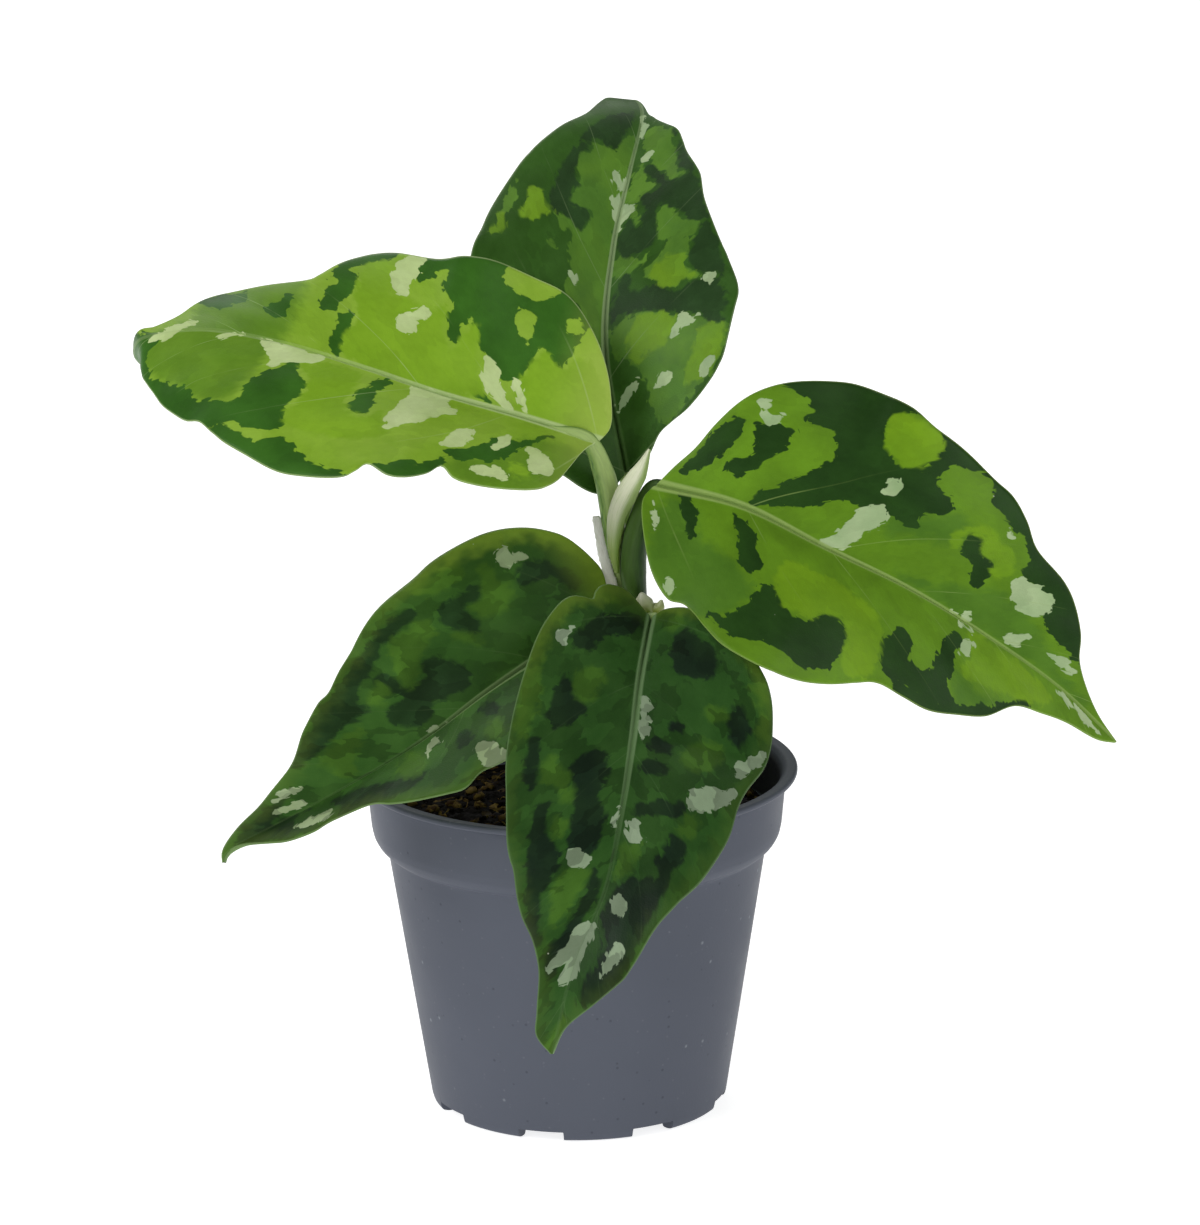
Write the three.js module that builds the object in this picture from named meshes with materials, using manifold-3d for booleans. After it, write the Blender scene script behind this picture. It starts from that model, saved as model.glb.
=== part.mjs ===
// A small variegated aglaonema in its nursery pot.
// Units are millimetres, +Z is up, and the camera of the photograph looks along +Y.
// The origin is on the pot's axis, on the surface that the pot stands on.
//
// A leaf blade is described flat and then bent into place. Its midrib is a curve in space,
// and a point of the blade is given by how far it lies along the midrib and how far across
// from it, to the left (+) or right (-) of someone looking from the leaf's base to its tip.

import * as THREE from 'three';
import { mergeVertices } from 'three/addons/utils/BufferGeometryUtils.js';
import ManifoldModule from 'manifold-3d';

const manifold = await ManifoldModule();
manifold.setup();
const { Manifold, Mesh: ManifoldMesh } = manifold;

// ---------------------------------------------------------------- driving sizes

const CLEARANCE = 0.35;          // gap kept between pieces that touch on the real plant
const SEED = 7;

const POT = {
  height: 47,
  rimRadius: 30,                 // outer edge of the lip: a 6 cm pot
  lipThickness: 0.9,
  lipWidth: 1.5,                 // flat top of the lip, before it turns down into the pot
  collarRadius: 28.5,            // collar just under the lip
  collarHeight: 12,
  collarTaper: 0.75,
  creaseRadius: 25.4,            // wall where the collar ends
  footRadius: 20.2,
  footBevel: 1.1,
  wall: 1.0,
  floorLift: 1.2,                // hollow under the floor, inside the foot ring
  floorThickness: 1.2,
  footRingWidth: 2.2,
  padRadius: 9,                  // flat centre of the underside, level with the foot ring
  sides: 48,
};

const NOTCH = { count: 8, width: 6.3, height: 1.2, firstAngle: -105 };
const DRAIN = { count: 4, radius: 2.2, ring: 14.2, firstAngle: 45 };

const SOIL = {
  level: 39.6,
  domeHeight: 1.4,
  rings: 9,
  sectors: 36,
  roughness: 0.9,
  crumbs: 45,
  crumbRadius: [0.6, 1.35],
  facetRoom: 0.1,                // what the flat sides of the pot's wall take off its radius
};

// Round underside of the collar, as [out, up] from the crease.
const COLLAR_SWEEP = [[0.8, 0.5], [1.55, 1.15], [2.1, 2.1], [2.35, 3.3]];

const STEM = {
  path: [[1.0, 0.6, 31], [2.6, 0.6, 44], [4.9, 0.8, 56], [7.1, 1.1, 64.5], [7.6, 1.2, 68.6]],
  radii: [3.0, 2.9, 2.7, 2.7, 2.9],
  scarSpacing: 4.6,              // between the rings that fallen leaves left
  scarHeight: 0.28,
};

// Thick fleshy roots: where each leaves the stem, and its run down through the soil.
const ROOTS = {
  radius: 1.2,
  tipRadius: 0.6,
  paths: [
    [[0.6, 0.5, 32], [-5, -2, 27], [-10.5, -4.5, 17], [-11, -5, 8]],
    [[1.0, 0.4, 32], [6, -4.5, 26], [10.5, -8, 16], [10.5, -9, 7]],
    [[1.0, 0.9, 32], [4.5, 6.5, 27], [7.5, 11.5, 18], [7, 12, 8]],
    [[0.9, 0.6, 32], [0.2, 0.2, 24], [-0.8, 1.4, 15], [-2.5, 1.8, 7]],
  ],
};

const BLADE = {
  thickness: 0.66,
  rows: 24,
  columns: 5,                    // on each side of the midrib
  archPerMillimetre: -0.8,       // degrees by which a half bends down on its way out
  keelDepth: 1.15,               // the midrib stands out below
  keelHalfWidth: 0.9,
  keelStart: 2.2,
  veinSpacing: 7.5,
  veinSlant: 0.62,
  veinDepth: 0.16,
};

// heading: the way the leaf points, in degrees from +X. roll: how far its left side is raised,
// and fold: how far each half rises from the midrib, both in degrees, evenly spread from base
// to tip. wave: height of the margin's waves in mm at 20 mm out, waves in the length, and
// where they start on each side. The outlines list (along, across) from the base to the tip.
const LEAVES = {
  back: {
    midrib: [[7, 5, 86.6], [4.4, 11, 102], [5.6, 19.5, 114], [8, 29.5, 122.5],
      [9.8, 38, 128], [11, 44.5, 128], [11.8, 49, 124]],
    heading: 88,
    roll: [0, 0],
    fold: { left: [32, 20, 12, 4], right: [32, 20, 12, 4] },
    wave: { height: 0.9, count: 3, left: 0.5, right: 2 },
    left: [[-2.5, 3.5], [-1, 7.5], [5, 13], [13, 17.2], [20, 19], [27, 19], [31, 18.2], [35, 17.3],
      [40, 15.8], [45, 14], [50, 11], [54, 8.5], [58, 6.8], [62, 4.5], [68, 0]],
    right: [[0.5, 2.5], [2.5, 4.6], [5.3, 6.6], [6.6, 9.2], [9, 12.9], [11.5, 15.4], [14.6, 16.9],
      [22, 17.8], [26.5, 17.9], [32.8, 15.1], [40.3, 11.6], [47.8, 8.5], [50.3, 7.3], [53, 4.8],
      [56, 2.5], [68, 0]],
  },
  left: {
    midrib: [[3.3, -2, 92.7], [-7, -3.3, 96.5], [-17.4, -4.6, 100], [-27.7, -4.9, 103.8],
      [-38.2, -3.9, 107], [-48.7, -1.1, 108.3], [-57, 2.5, 106.5], [-58.8, 7.5, 103], [-57.5, 11.5, 100]],
    heading: 180,
    roll: [-50, -46, -40, -38],
    fold: { left: [34, 25, 2, -4], right: [28, 18, -8, -40] },
    wave: { height: 0.9, count: 3.5, left: 0, right: 1 },
    left: [[2, 3], [5, 10.2], [7, 13], [9, 14.3], [12, 15], [17, 15.5], [19.5, 15.3], [21, 13.9],
      [22.5, 16], [25, 18], [27, 18.3], [29.3, 17], [30.5, 18.5], [32, 19.8], [36, 20.1], [40, 19.9],
      [46, 18], [49, 16.2], [51.5, 14.5], [54, 14.2], [57, 13], [60, 11], [62, 8.5], [64, 6], [66, 4],
      [76, 0]],
    right: [[-1, 2.5], [0, 6], [2, 10], [5, 14], [9, 18], [13, 19.5], [18, 20.2], [24, 19.5],
      [28, 18.5], [33.5, 19.3], [36.5, 18.8], [39, 17.3], [41, 15.5], [43, 13], [44.5, 11.8],
      [50, 10.3], [54.5, 8.9], [57, 7.7], [59, 5.8], [61, 3.4], [64, 2.2], [68, 2], [76, 0]],
  },
  right: {
    midrib: [[11, -3, 87], [22.5, -5.3, 84.5], [33.5, -6.5, 79], [44.5, -7, 73.5],
      [54.7, -7, 67], [64.6, -6.6, 59.6], [73, -5, 51]],
    heading: 0,
    roll: [60, 60],
    fold: { left: [18, 18, 14, 10], right: [22, 28, 18, 10] },
    wave: { height: 0.8, count: 3, left: 0, right: 2.5 },
    left: [[2.5, 3], [5, 5.5], [6.5, 9.5], [9, 14], [12, 17.5], [15, 20.3], [18, 22], [22, 22.5],
      [27, 22.2], [31, 21], [35, 20.3], [40, 19], [43, 18.3], [46, 16.3], [49, 13.7], [54, 12],
      [57, 10.2], [59.5, 7.6], [61.5, 4.6], [64, 2.7], [68, 1], [73, 0]],
    right: [[-1, 3], [0.5, 8], [3, 13.5], [6, 16.8], [9, 17.3], [14, 20], [18, 21.8], [23, 22.2],
      [27, 21.3], [31, 19.4], [35, 17], [38, 15.5], [42, 15.3], [46, 14.8], [50, 12.8], [54, 10.3],
      [57, 6.5], [61, 4.8], [65, 3.3], [70, 1.9], [73, 0]],
  },
  low: {
    midrib: [[4.7, -4, 69], [-3.8, -9.7, 65.6], [-12, -15.6, 61.7], [-20, -21.3, 57.2],
      [-28.8, -26, 53], [-38.3, -29, 48.6], [-45.2, -30, 45.2], [-46.7, -30, 43]],
    heading: 215,
    roll: [-25, -25],
    fold: { left: [0, 20, 26, 26], right: [34, 28, 26, 26] },
    wave: { height: 0.7, count: 3, left: 1, right: 0 },
    left: [[1.5, 2.5], [3, 6.5], [6.5, 11], [12, 14], [20, 14.8], [26, 14], [30, 12.9], [32, 12.4],
      [34.8, 13.4], [37, 12.7], [40, 11], [42.5, 9], [44.5, 6.8], [49, 5.6], [52, 5.8], [55, 5],
      [57.5, 3], [61, 0.5], [64.7, 0]],
    right: [[-2.45, 5], [-2.45, 8], [-1.2, 12], [0.7, 14.3], [4, 16.5], [9, 18.6], [14.6, 19.7], [19, 19],
      [26, 17.7], [35, 15], [39.5, 12.7], [42, 12], [46, 9.6], [50, 6.3], [56, 3.6], [60, 2.2],
      [64.7, 0]],
  },
  front: {
    midrib: [[10.2, -8, 69.7], [8.6, -18.4, 64.5], [7.5, -28.6, 59], [6, -38.3, 52.4],
      [3.8, -46.6, 44.5], [-0.6, -52, 35.2], [-3.3, -54, 24.3]],
    heading: 262,
    roll: [0, 0],
    fold: { left: [30, -3, 8, 8], right: [42, 20, 14, 8] },
    wave: { height: 0.6, count: 3, left: 0, right: 2 },
    left: [[-1, 2.5], [1, 7], [6, 12.8], [11.5, 16.5], [15, 17.8], [19, 18.2], [22, 18.2], [26, 17.5],
      [30, 15.8], [33, 15], [37, 14.6], [40, 13.8], [44, 12], [47, 9.8], [50, 8.2], [55, 7.4],
      [58, 6.6], [62, 4], [66, 1], [70, 0]],
    right: [[-2.3, 4.1], [-1.3, 7.3], [0.9, 8.5], [2.4, 10.1], [4.6, 12.9], [7.8, 14.1], [15, 15.5],
      [26, 16.2], [31.5, 16], [38, 14.9], [44, 13.8], [48.4, 12.3], [52, 10.7], [54.6, 8.8], [57, 6],
      [60, 4.1], [64.6, 3.2], [67.8, 2.6], [70, 0]],
  },
};

// Leaf stalks, from inside or on top of the stem up to the blade that each one carries. The
// stem is cut out of them, which shapes their feet, and petioleSolid() adds the last stretch.
const PETIOLE = { footRadius: 1.25, midRadius: 1.1, tipRadius: 0.95, bend: 1.6, sides: 10, steps: 12 };
const PETIOLE_PATHS = {
  back: [[8.1, 3.0, 69.1], [7.7, 3.3, 76], [7.3, 4.6, 81]],
  left: [[5.8, 1.2, 69.25], [6.0, 0.9, 76], [5.7, 0.5, 82], [4.9, 0.1, 87]],
  right: [[8.6, -0.5, 69.1], [8.3, -0.9, 75], [8.3, -1.2, 80]],
  low: [[3.2, -1.0, 50.5], [2.0, -3.6, 54.5], [2.4, -4.4, 60], [3.9, -4.4, 64]],
  front: [[5.2, -1.0, 54.5], [6.9, -3.4, 58], [8.4, -3.9, 62], [9.8, -4.1, 66]],
};

// Thin strips: centre line, half width at each of its points, and the way its face looks.
const SHEATH = {
  thickness: 0.6,
  facing: [-0.35, -1, 0],
  path: [[5.8, -1.5, 73.9], [5.6, -1.5, 77], [5.8, -1.9, 81], [6.9, -3.0, 85.2], [8.7, -3.2, 88.6],
    [10.1, -2.3, 91.2]],
  halfWidths: [0.5, 0.9, 1.1, 1.4, 1.0, 0.35],
};
const DRY_SHEATH = {
  thickness: 0.6,
  facing: [-0.5, -1, 0],
  path: [[6.0, -1.1, 69.5], [4.8, -0.8, 73], [3.9, 0.1, 77], [3.2, 0.5, 81.8]],
  halfWidths: [0.8, 0.65, 0.55, 0.55],
};
const BUD = {
  path: [[9.1, -2.75, 69.4], [9.3, -3.7, 70.9], [9.0, -4.3, 73]],
  radii: [0.6, 1.0, 0.25],
  scalePath: [[9.4, -3.4, 70.4], [10.9, -3.9, 71.0], [11.3, -4.1, 72.1]],
  scaleRadii: [0.5, 0.6, 0.3],
};

const MATERIALS = {
  pot: new THREE.MeshStandardMaterial({ color: '#5d6069', roughness: 0.5, metalness: 0 }),
  soil: new THREE.MeshStandardMaterial({ color: '#2a211b', roughness: 0.95, metalness: 0 }),
  stem: new THREE.MeshStandardMaterial({ color: '#6f7d4c', roughness: 0.6, metalness: 0 }),
  root: new THREE.MeshStandardMaterial({ color: '#cdbf9e', roughness: 0.7, metalness: 0 }),
  petiole: new THREE.MeshStandardMaterial({ color: '#5c7f34', roughness: 0.45, metalness: 0 }),
  sheath: new THREE.MeshStandardMaterial({ color: '#cfd3ae', roughness: 0.5, metalness: 0 }),
  drySheath: new THREE.MeshStandardMaterial({ color: '#c3bca6', roughness: 0.8, metalness: 0 }),
  bud: new THREE.MeshStandardMaterial({ color: '#b9bf7a', roughness: 0.5, metalness: 0 }),
  youngLeaf: new THREE.MeshStandardMaterial({ color: '#6f9a35', roughness: 0.4, metalness: 0 }),
  matureLeaf: new THREE.MeshStandardMaterial({ color: '#3d6a2a', roughness: 0.4, metalness: 0 }),
  oldLeaf: new THREE.MeshStandardMaterial({ color: '#29502a', roughness: 0.4, metalness: 0 }),
};

// ---------------------------------------------------------------- small helpers

const group = new THREE.Group();
group.name = 'potted_chinese_evergreen';

function add(name, geometry, material) {
  const mesh = new THREE.Mesh(geometry, material);
  mesh.name = name;
  group.add(mesh);
}

const vec = (p) => new THREE.Vector3(...p);
const radians = THREE.MathUtils.degToRad;
const lerp = THREE.MathUtils.lerp;
const smooth = THREE.MathUtils.smoothstep;

function curveThrough(points) {
  const curve = new THREE.CatmullRomCurve3(points.map(vec), false, 'catmullrom', 0.5);
  curve.arcLengthDivisions = 400;
  return curve;
}

// A value from an evenly spaced list, at t from 0 to 1.
function along(values, t) {
  const place = THREE.MathUtils.clamp(t, 0, 1) * (values.length - 1);
  const i = Math.min(Math.floor(place), values.length - 2);
  return lerp(values[i], values[i + 1], place - i);
}

// Seeded random numbers from 0 to 1.
function randomFrom(seed) {
  let state = seed;
  return () => {
    state = (state * 1664525 + 1013904223) % 4294967296;
    return state / 4294967296;
  };
}

function closedGeometry(points, triangles) {
  const geometry = new THREE.BufferGeometry();
  geometry.setAttribute('position', new THREE.Float32BufferAttribute(points.flatMap((p) => [...p]), 3));
  geometry.setIndex(triangles.flat());
  geometry.computeVertexNormals();
  return geometry;
}

function toManifold(geometry) {
  const bare = new THREE.BufferGeometry();
  bare.setAttribute('position', geometry.getAttribute('position').clone());
  bare.setIndex(geometry.getIndex() ? [...geometry.getIndex().array] : null);
  const merged = mergeVertices(bare, 1e-4);
  const index = [];
  const source = merged.getIndex().array;
  for (let i = 0; i < source.length; i += 3) {
    const [a, b, c] = [source[i], source[i + 1], source[i + 2]];
    if (a !== b && b !== c && c !== a) index.push(a, b, c);
  }
  return new Manifold(new ManifoldMesh({
    numProp: 3,
    vertProperties: new Float32Array(merged.getAttribute('position').array),
    triVerts: new Uint32Array(index),
  }));
}

function fromManifold(solid) {
  const mesh = solid.getMesh();
  const geometry = new THREE.BufferGeometry();
  geometry.setAttribute('position', new THREE.Float32BufferAttribute(mesh.vertProperties, 3));
  geometry.setIndex([...mesh.triVerts]);
  geometry.computeVertexNormals();
  return geometry;
}

function largestBody(solid) {
  return solid.decompose().sort((a, b) => b.volume() - a.volume())[0];
}

// ---------------------------------------------------------------- tubes and strips

// A tube of varying radius along a curve, closed by a flat cap at each end.
function tube(points, radii, sides, steps) {
  const curve = curveThrough(points);
  const frames = curve.computeFrenetFrames(steps, false);
  const rings = [];
  for (let i = 0; i <= steps; i += 1) {
    const t = i / steps;
    const centre = curve.getPointAt(t);
    const radius = typeof radii === 'function' ? radii(t, curve.getLength()) : along(radii, t);
    for (let j = 0; j < sides; j += 1) {
      const angle = (2 * Math.PI * j) / sides;
      const spoke = frames.normals[i].clone().multiplyScalar(Math.cos(angle) * radius);
      spoke.addScaledVector(frames.binormals[i], Math.sin(angle) * radius);
      rings.push(centre.clone().add(spoke));
    }
  }
  const foot = rings.push(curve.getPointAt(0)) - 1;
  const top = rings.push(curve.getPointAt(1)) - 1;
  const last = steps * sides;
  const triangles = [];
  for (let j = 0; j < sides; j += 1) {
    const next = (j + 1) % sides;
    triangles.push([foot, next, j], [top, last + j, last + next]);
    for (let i = 0; i < steps; i += 1) {
      const low = i * sides;
      const high = low + sides;
      triangles.push([low + j, low + next, high + next], [low + j, high + next, high + j]);
    }
  }
  return closedGeometry(rings, triangles);
}

// A thin strip with a curved face: a grid with a front and a back, closed around its edge.
function strip({ path, halfWidths, thickness, facing }) {
  const curve = curveThrough(path);
  const steps = 14;
  const across = 4;
  const face = vec(facing).normalize();
  const rowOf = (i) => {
    const t = i / steps;
    const centre = curve.getPointAt(t);
    const side = face.clone().cross(curve.getTangentAt(t)).normalize();
    const half = along(halfWidths, t);
    return Array.from({ length: across + 1 }, (_, j) => {
      const s = (2 * j) / across - 1;
      return centre.clone().addScaledVector(side, half * s).addScaledVector(face, -0.3 * half * s * s);
    });
  };
  const middle = Array.from({ length: steps + 1 }, (_, i) => rowOf(i));
  const offset = (row, amount) => row.map((p) => p.clone().addScaledVector(face, amount));
  const front = middle.map((row) => offset(row, thickness / 2));
  const back = middle.map((row) => offset(row, -thickness / 2));
  return sheetSolid(front, back);
}

// Closes two grids of the same shape, seen from the front and the back, into one solid.
function sheetSolid(front, back) {
  const rows = front.length;
  const columns = front[0].length;
  const points = [...front.flat(), ...back.flat()];
  const under = rows * columns;
  const at = (i, j) => i * columns + j;
  const triangles = [];
  for (let i = 0; i < rows - 1; i += 1) {
    for (let j = 0; j < columns - 1; j += 1) {
      const [a, b, c, d] = [at(i, j), at(i + 1, j), at(i + 1, j + 1), at(i, j + 1)];
      triangles.push([a, b, c], [a, c, d]);
      triangles.push([under + a, under + c, under + b], [under + a, under + d, under + c]);
    }
  }
  const edge = [];
  for (let j = 0; j < columns - 1; j += 1) edge.push(at(0, j));
  for (let i = 0; i < rows - 1; i += 1) edge.push(at(i, columns - 1));
  for (let j = columns - 1; j > 0; j -= 1) edge.push(at(rows - 1, j));
  for (let i = rows - 1; i > 0; i -= 1) edge.push(at(i, 0));
  edge.forEach((a, k) => {
    const b = edge[(k + 1) % edge.length];
    triangles.push([a, b, under + b], [a, under + b, under + a]);
  });
  return closedGeometry(points, triangles);
}

// ---------------------------------------------------------------- leaf blades

// The bent surface of a blade: frames along its midrib, and points at (along, across).
function bladeSurface(leaf) {
  const curve = curveThrough(leaf.midrib);
  const length = curve.getLength();
  const heading = radians(leaf.heading);
  const level = new THREE.Vector3(-Math.sin(heading), Math.cos(heading), 0);

  const frameAt = (a) => {
    const t = THREE.MathUtils.clamp(a / length, 0, 1);
    const tangent = curve.getTangentAt(t);
    const side = level.clone().addScaledVector(tangent, -level.dot(tangent)).normalize();
    const normal = tangent.clone().cross(side);
    const roll = radians(along(leaf.roll, t));
    const point = curve.getPointAt(t).addScaledVector(tangent, a - t * length);
    return {
      point,
      tangent,
      side: side.clone().multiplyScalar(Math.cos(roll)).addScaledVector(normal, Math.sin(roll)),
      normal: normal.clone().multiplyScalar(Math.cos(roll)).addScaledVector(side, -Math.sin(roll)),
    };
  };

  const pointAt = (a, b) => {
    const { point, side, normal } = frameAt(a);
    const name = b >= 0 ? 'left' : 'right';
    const distance = Math.abs(b);
    const fold = radians(along(leaf.fold[name], a / length));
    const bend = radians(BLADE.archPerMillimetre);
    const out = (Math.sin(fold + bend * distance) - Math.sin(fold)) / bend;
    const rise = (Math.cos(fold) - Math.cos(fold + bend * distance)) / bend;
    const phase = 2 * Math.PI * leaf.wave.count * (a / length) + leaf.wave[name];
    const wave = leaf.wave.height * (distance / 20) ** 2 * Math.sin(phase);
    return point
      .addScaledVector(side, Math.sign(b) * out)
      .addScaledVector(normal, rise + wave + veinRelief(a, distance));
  };

  return { length, frameAt, pointAt };
}

// The blade swells a little between its side veins, which slant forward from the midrib.
function veinRelief(a, distance) {
  const turn = (a - BLADE.veinSlant * distance) / BLADE.veinSpacing;
  return -BLADE.veinDepth * Math.cos(2 * Math.PI * turn) * smooth(distance, 1, 6);
}

// One half of the blade as rows of [along, across], from the midrib to the margin.
function halfBlade(outline, length, sign) {
  const reach = outline[outline.length - 1][0];
  const margin = curveThrough([[0, 0, 0], ...outline.map(([a, b]) => [(a * length) / reach, b, 0])]);
  return Array.from({ length: BLADE.rows + 1 }, (_, i) => {
    const t = i / BLADE.rows;
    const edge = margin.getPointAt(t);
    const root = length * t ** 1.35;
    const reachOut = Math.hypot(edge.x - root, edge.y);
    const keel = reachOut > 0 ? Math.min(BLADE.keelHalfWidth / reachOut, 1 / BLADE.columns) : 0;
    return Array.from({ length: BLADE.columns + 1 }, (_, j) => {
      const share = j === 0 ? 0 : keel + ((1 - keel) * (j - 1)) / (BLADE.columns - 1);
      return [lerp(root, edge.x, share), sign * edge.y * share];
    });
  });
}

// Both faces of a blade, half its thickness from the surface, with the keel on the lower one.
function bladeGeometry(leaf) {
  const surface = bladeSurface(leaf);
  const left = halfBlade(leaf.left, surface.length, 1);
  const right = halfBlade(leaf.right, surface.length, -1);
  const rows = left.map((row, i) => [...right[i].slice(1).reverse(), ...row]);
  const step = 0.05;
  const faceNormal = (a, b) => {
    if (Math.abs(b) < step) return surface.frameAt(a).normal;
    const forward = surface.pointAt(a + step, b).sub(surface.pointAt(a - step, b));
    const sideways = surface.pointAt(a, b + step / 2).sub(surface.pointAt(a, b - step / 2));
    return forward.cross(sideways).normalize();
  };
  const faceOf = (offset) => rows.map((row) => row.map(([a, b], j) => {
    const keel = j === BLADE.columns ? keelAt(a, surface.length) : 0;
    return surface.pointAt(a, b).addScaledVector(faceNormal(a, b), offset > 0 ? offset : offset - keel);
  }));
  return sheetSolid(faceOf(BLADE.thickness / 2), faceOf(-BLADE.thickness / 2));
}

function keelAt(a, length) {
  const swell = smooth(a, BLADE.keelStart, BLADE.keelStart + 3);
  return BLADE.keelDepth * swell * (1 - smooth(a, 0.35 * length, length));
}

// ---------------------------------------------------------------- petioles

// A stalk ends under the blade's base, clear of it, and leans the way the midrib starts.
function petioleSolid(name) {
  const { point, tangent, normal } = bladeSurface(LEAVES[name]).frameAt(0);
  const drop = BLADE.thickness / 2 + 1.4 * CLEARANCE + PETIOLE.tipRadius;
  const seat = point.clone().addScaledVector(normal, -drop);
  const approach = seat.clone().addScaledVector(tangent, -PETIOLE.bend);
  const end = seat.clone().addScaledVector(tangent, 1.2);
  const path = [...PETIOLE_PATHS[name], [...approach], [...end]];
  const radii = [PETIOLE.footRadius, PETIOLE.midRadius, PETIOLE.midRadius, PETIOLE.tipRadius];
  const stalk = toManifold(tube(path, radii, PETIOLE.sides, PETIOLE.steps));
  return largestBody(stalk.subtract(stemRoom()));
}

// ---------------------------------------------------------------- bud, stem and roots

function budSolid() {
  const heart = toManifold(tube(BUD.path, BUD.radii, 10, 8));
  const scale = toManifold(tube(BUD.scalePath, BUD.scaleRadii, 8, 6));
  return heart.add(scale);
}

function stemSolid() {
  const scarred = (t, length) => {
    const beat = (t * length) / STEM.scarSpacing;
    const ring = Math.exp(-(((beat - Math.round(beat)) * STEM.scarSpacing) ** 2) / 0.5);
    return along(STEM.radii, t) + STEM.scarHeight * ring;
  };
  const cane = toManifold(tube(STEM.path, scarred, 12, 32));
  const roots = ROOTS.paths.map((path) => toManifold(rootTube(path, 0)));
  return Manifold.union([cane, ...roots]);
}

// A root, or with some clearance the channel that it runs in.
function rootTube(path, clearance) {
  const tip = vec(path[path.length - 1]);
  const back = vec(path[path.length - 2]);
  const end = tip.clone().addScaledVector(tip.clone().sub(back).normalize(), clearance);
  const radii = [ROOTS.radius + clearance, ROOTS.tipRadius + clearance];
  return tube([...path.slice(0, -1), [...end]], radii, 8, 8);
}

// The plain space that the stem fills, with its clearance: soil and stalks keep out of it.
function stemRoom() {
  const lowered = ([x, y, z]) => [x, y, z - CLEARANCE];
  const raised = ([x, y, z]) => [x, y, z + CLEARANCE];
  const path = [lowered(STEM.path[0]), ...STEM.path.slice(1, -1), raised(STEM.path.at(-1))];
  const radii = STEM.radii.map((radius) => radius + STEM.scarHeight + CLEARANCE);
  return toManifold(tube(path, radii, 16, 16));
}

// ---------------------------------------------------------------- pot

// Inside of the wall as [radius, height], from the floor up to the top of the lip.
function innerWall() {
  const p = POT;
  const floorTop = p.floorLift + p.floorThickness;
  const crease = p.height - p.lipThickness - p.collarHeight;
  return [
    [p.footRadius - p.wall - 0.6, floorTop],
    [p.footRadius - p.wall, floorTop + 0.6],
    [p.creaseRadius - p.wall, crease - 0.2],
    [p.creaseRadius - p.wall + 1.9, crease + 1.8],
    [p.collarRadius - p.collarTaper - p.wall, crease + 3.4],
    [p.collarRadius - p.wall, p.height - 1.6],
    [p.rimRadius - p.lipWidth - 0.5, p.height - 0.5],
    [p.rimRadius - p.lipWidth, p.height],
  ];
}

function potProfile() {
  const p = POT;
  const lipUnder = p.height - p.lipThickness;
  const crease = lipUnder - p.collarHeight;
  return [
    [0, 0],
    [p.padRadius, 0],
    [p.padRadius + 0.4, p.floorLift],
    [p.footRadius - p.footRingWidth - 0.4, p.floorLift],
    [p.footRadius - p.footRingWidth, 0],
    [p.footRadius - p.footBevel, 0],
    [p.footRadius - 0.25, 0.25],
    [p.footRadius, p.footBevel],
    [p.creaseRadius, crease],
    ...COLLAR_SWEEP.map(([out, up]) => [p.creaseRadius + out, crease + up]),
    [p.collarRadius, lipUnder],
    [p.rimRadius - 0.2, lipUnder],
    [p.rimRadius, lipUnder + 0.25],
    [p.rimRadius, p.height - 0.25],
    [p.rimRadius - 0.25, p.height],
    ...innerWall().reverse(),
    [0, p.floorLift + p.floorThickness],
  ];
}

function potSolid() {
  const profile = potProfile().map(([r, z]) => new THREE.Vector2(r, z));
  const turned = new THREE.LatheGeometry(profile, POT.sides);
  turned.rotateX(Math.PI / 2);
  const cutters = [];
  for (let i = 0; i < NOTCH.count; i += 1) {
    const notch = new THREE.BoxGeometry(8, NOTCH.width, 2 * NOTCH.height);
    notch.translate(POT.footRadius + 1.2, 0, 0);
    notch.rotateZ(radians(NOTCH.firstAngle + (360 * i) / NOTCH.count));
    cutters.push(toManifold(notch));
  }
  for (let i = 0; i < DRAIN.count; i += 1) {
    const hole = new THREE.CylinderGeometry(DRAIN.radius, DRAIN.radius, 10, 16);
    hole.rotateX(Math.PI / 2);
    hole.translate(DRAIN.ring, 0, 0);
    hole.rotateZ(radians(DRAIN.firstAngle + (360 * i) / DRAIN.count));
    cutters.push(toManifold(hole));
  }
  return toManifold(turned).subtract(Manifold.union(cutters));
}

// ---------------------------------------------------------------- soil

// Height of the loose surface: a low dome with hollows at three scales.
function soilHeight(x, y) {
  const r = Math.hypot(x, y) / soilRadius(SOIL.level);
  const coarse = Math.sin(0.31 * x + 1.3) * Math.cos(0.27 * y - 0.4);
  const middle = Math.sin(0.93 * x + 0.6 * y) * Math.cos(0.8 * y - 0.5 * x + 2);
  const fine = Math.sin(2.1 * x - 1.4 * y + 1) * Math.sin(1.9 * y + 1.1 * x);
  const rough = SOIL.roughness * (0.45 * coarse + 0.35 * middle + 0.2 * fine);
  return SOIL.level + SOIL.domeHeight * (1 - r * r) + rough * (1 - 0.7 * r ** 4);
}

// Radius of the soil at a height: the inside of the pot's wall less the gap.
function soilRadius(z) {
  const wall = innerWall();
  const above = Math.max(1, wall.findIndex(([, height]) => height >= z));
  const [[r0, z0], [r1, z1]] = [wall[above - 1], wall[above]];
  return lerp(r0, r1, (z - z0) / (z1 - z0)) - CLEARANCE - SOIL.facetRoom;
}

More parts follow.
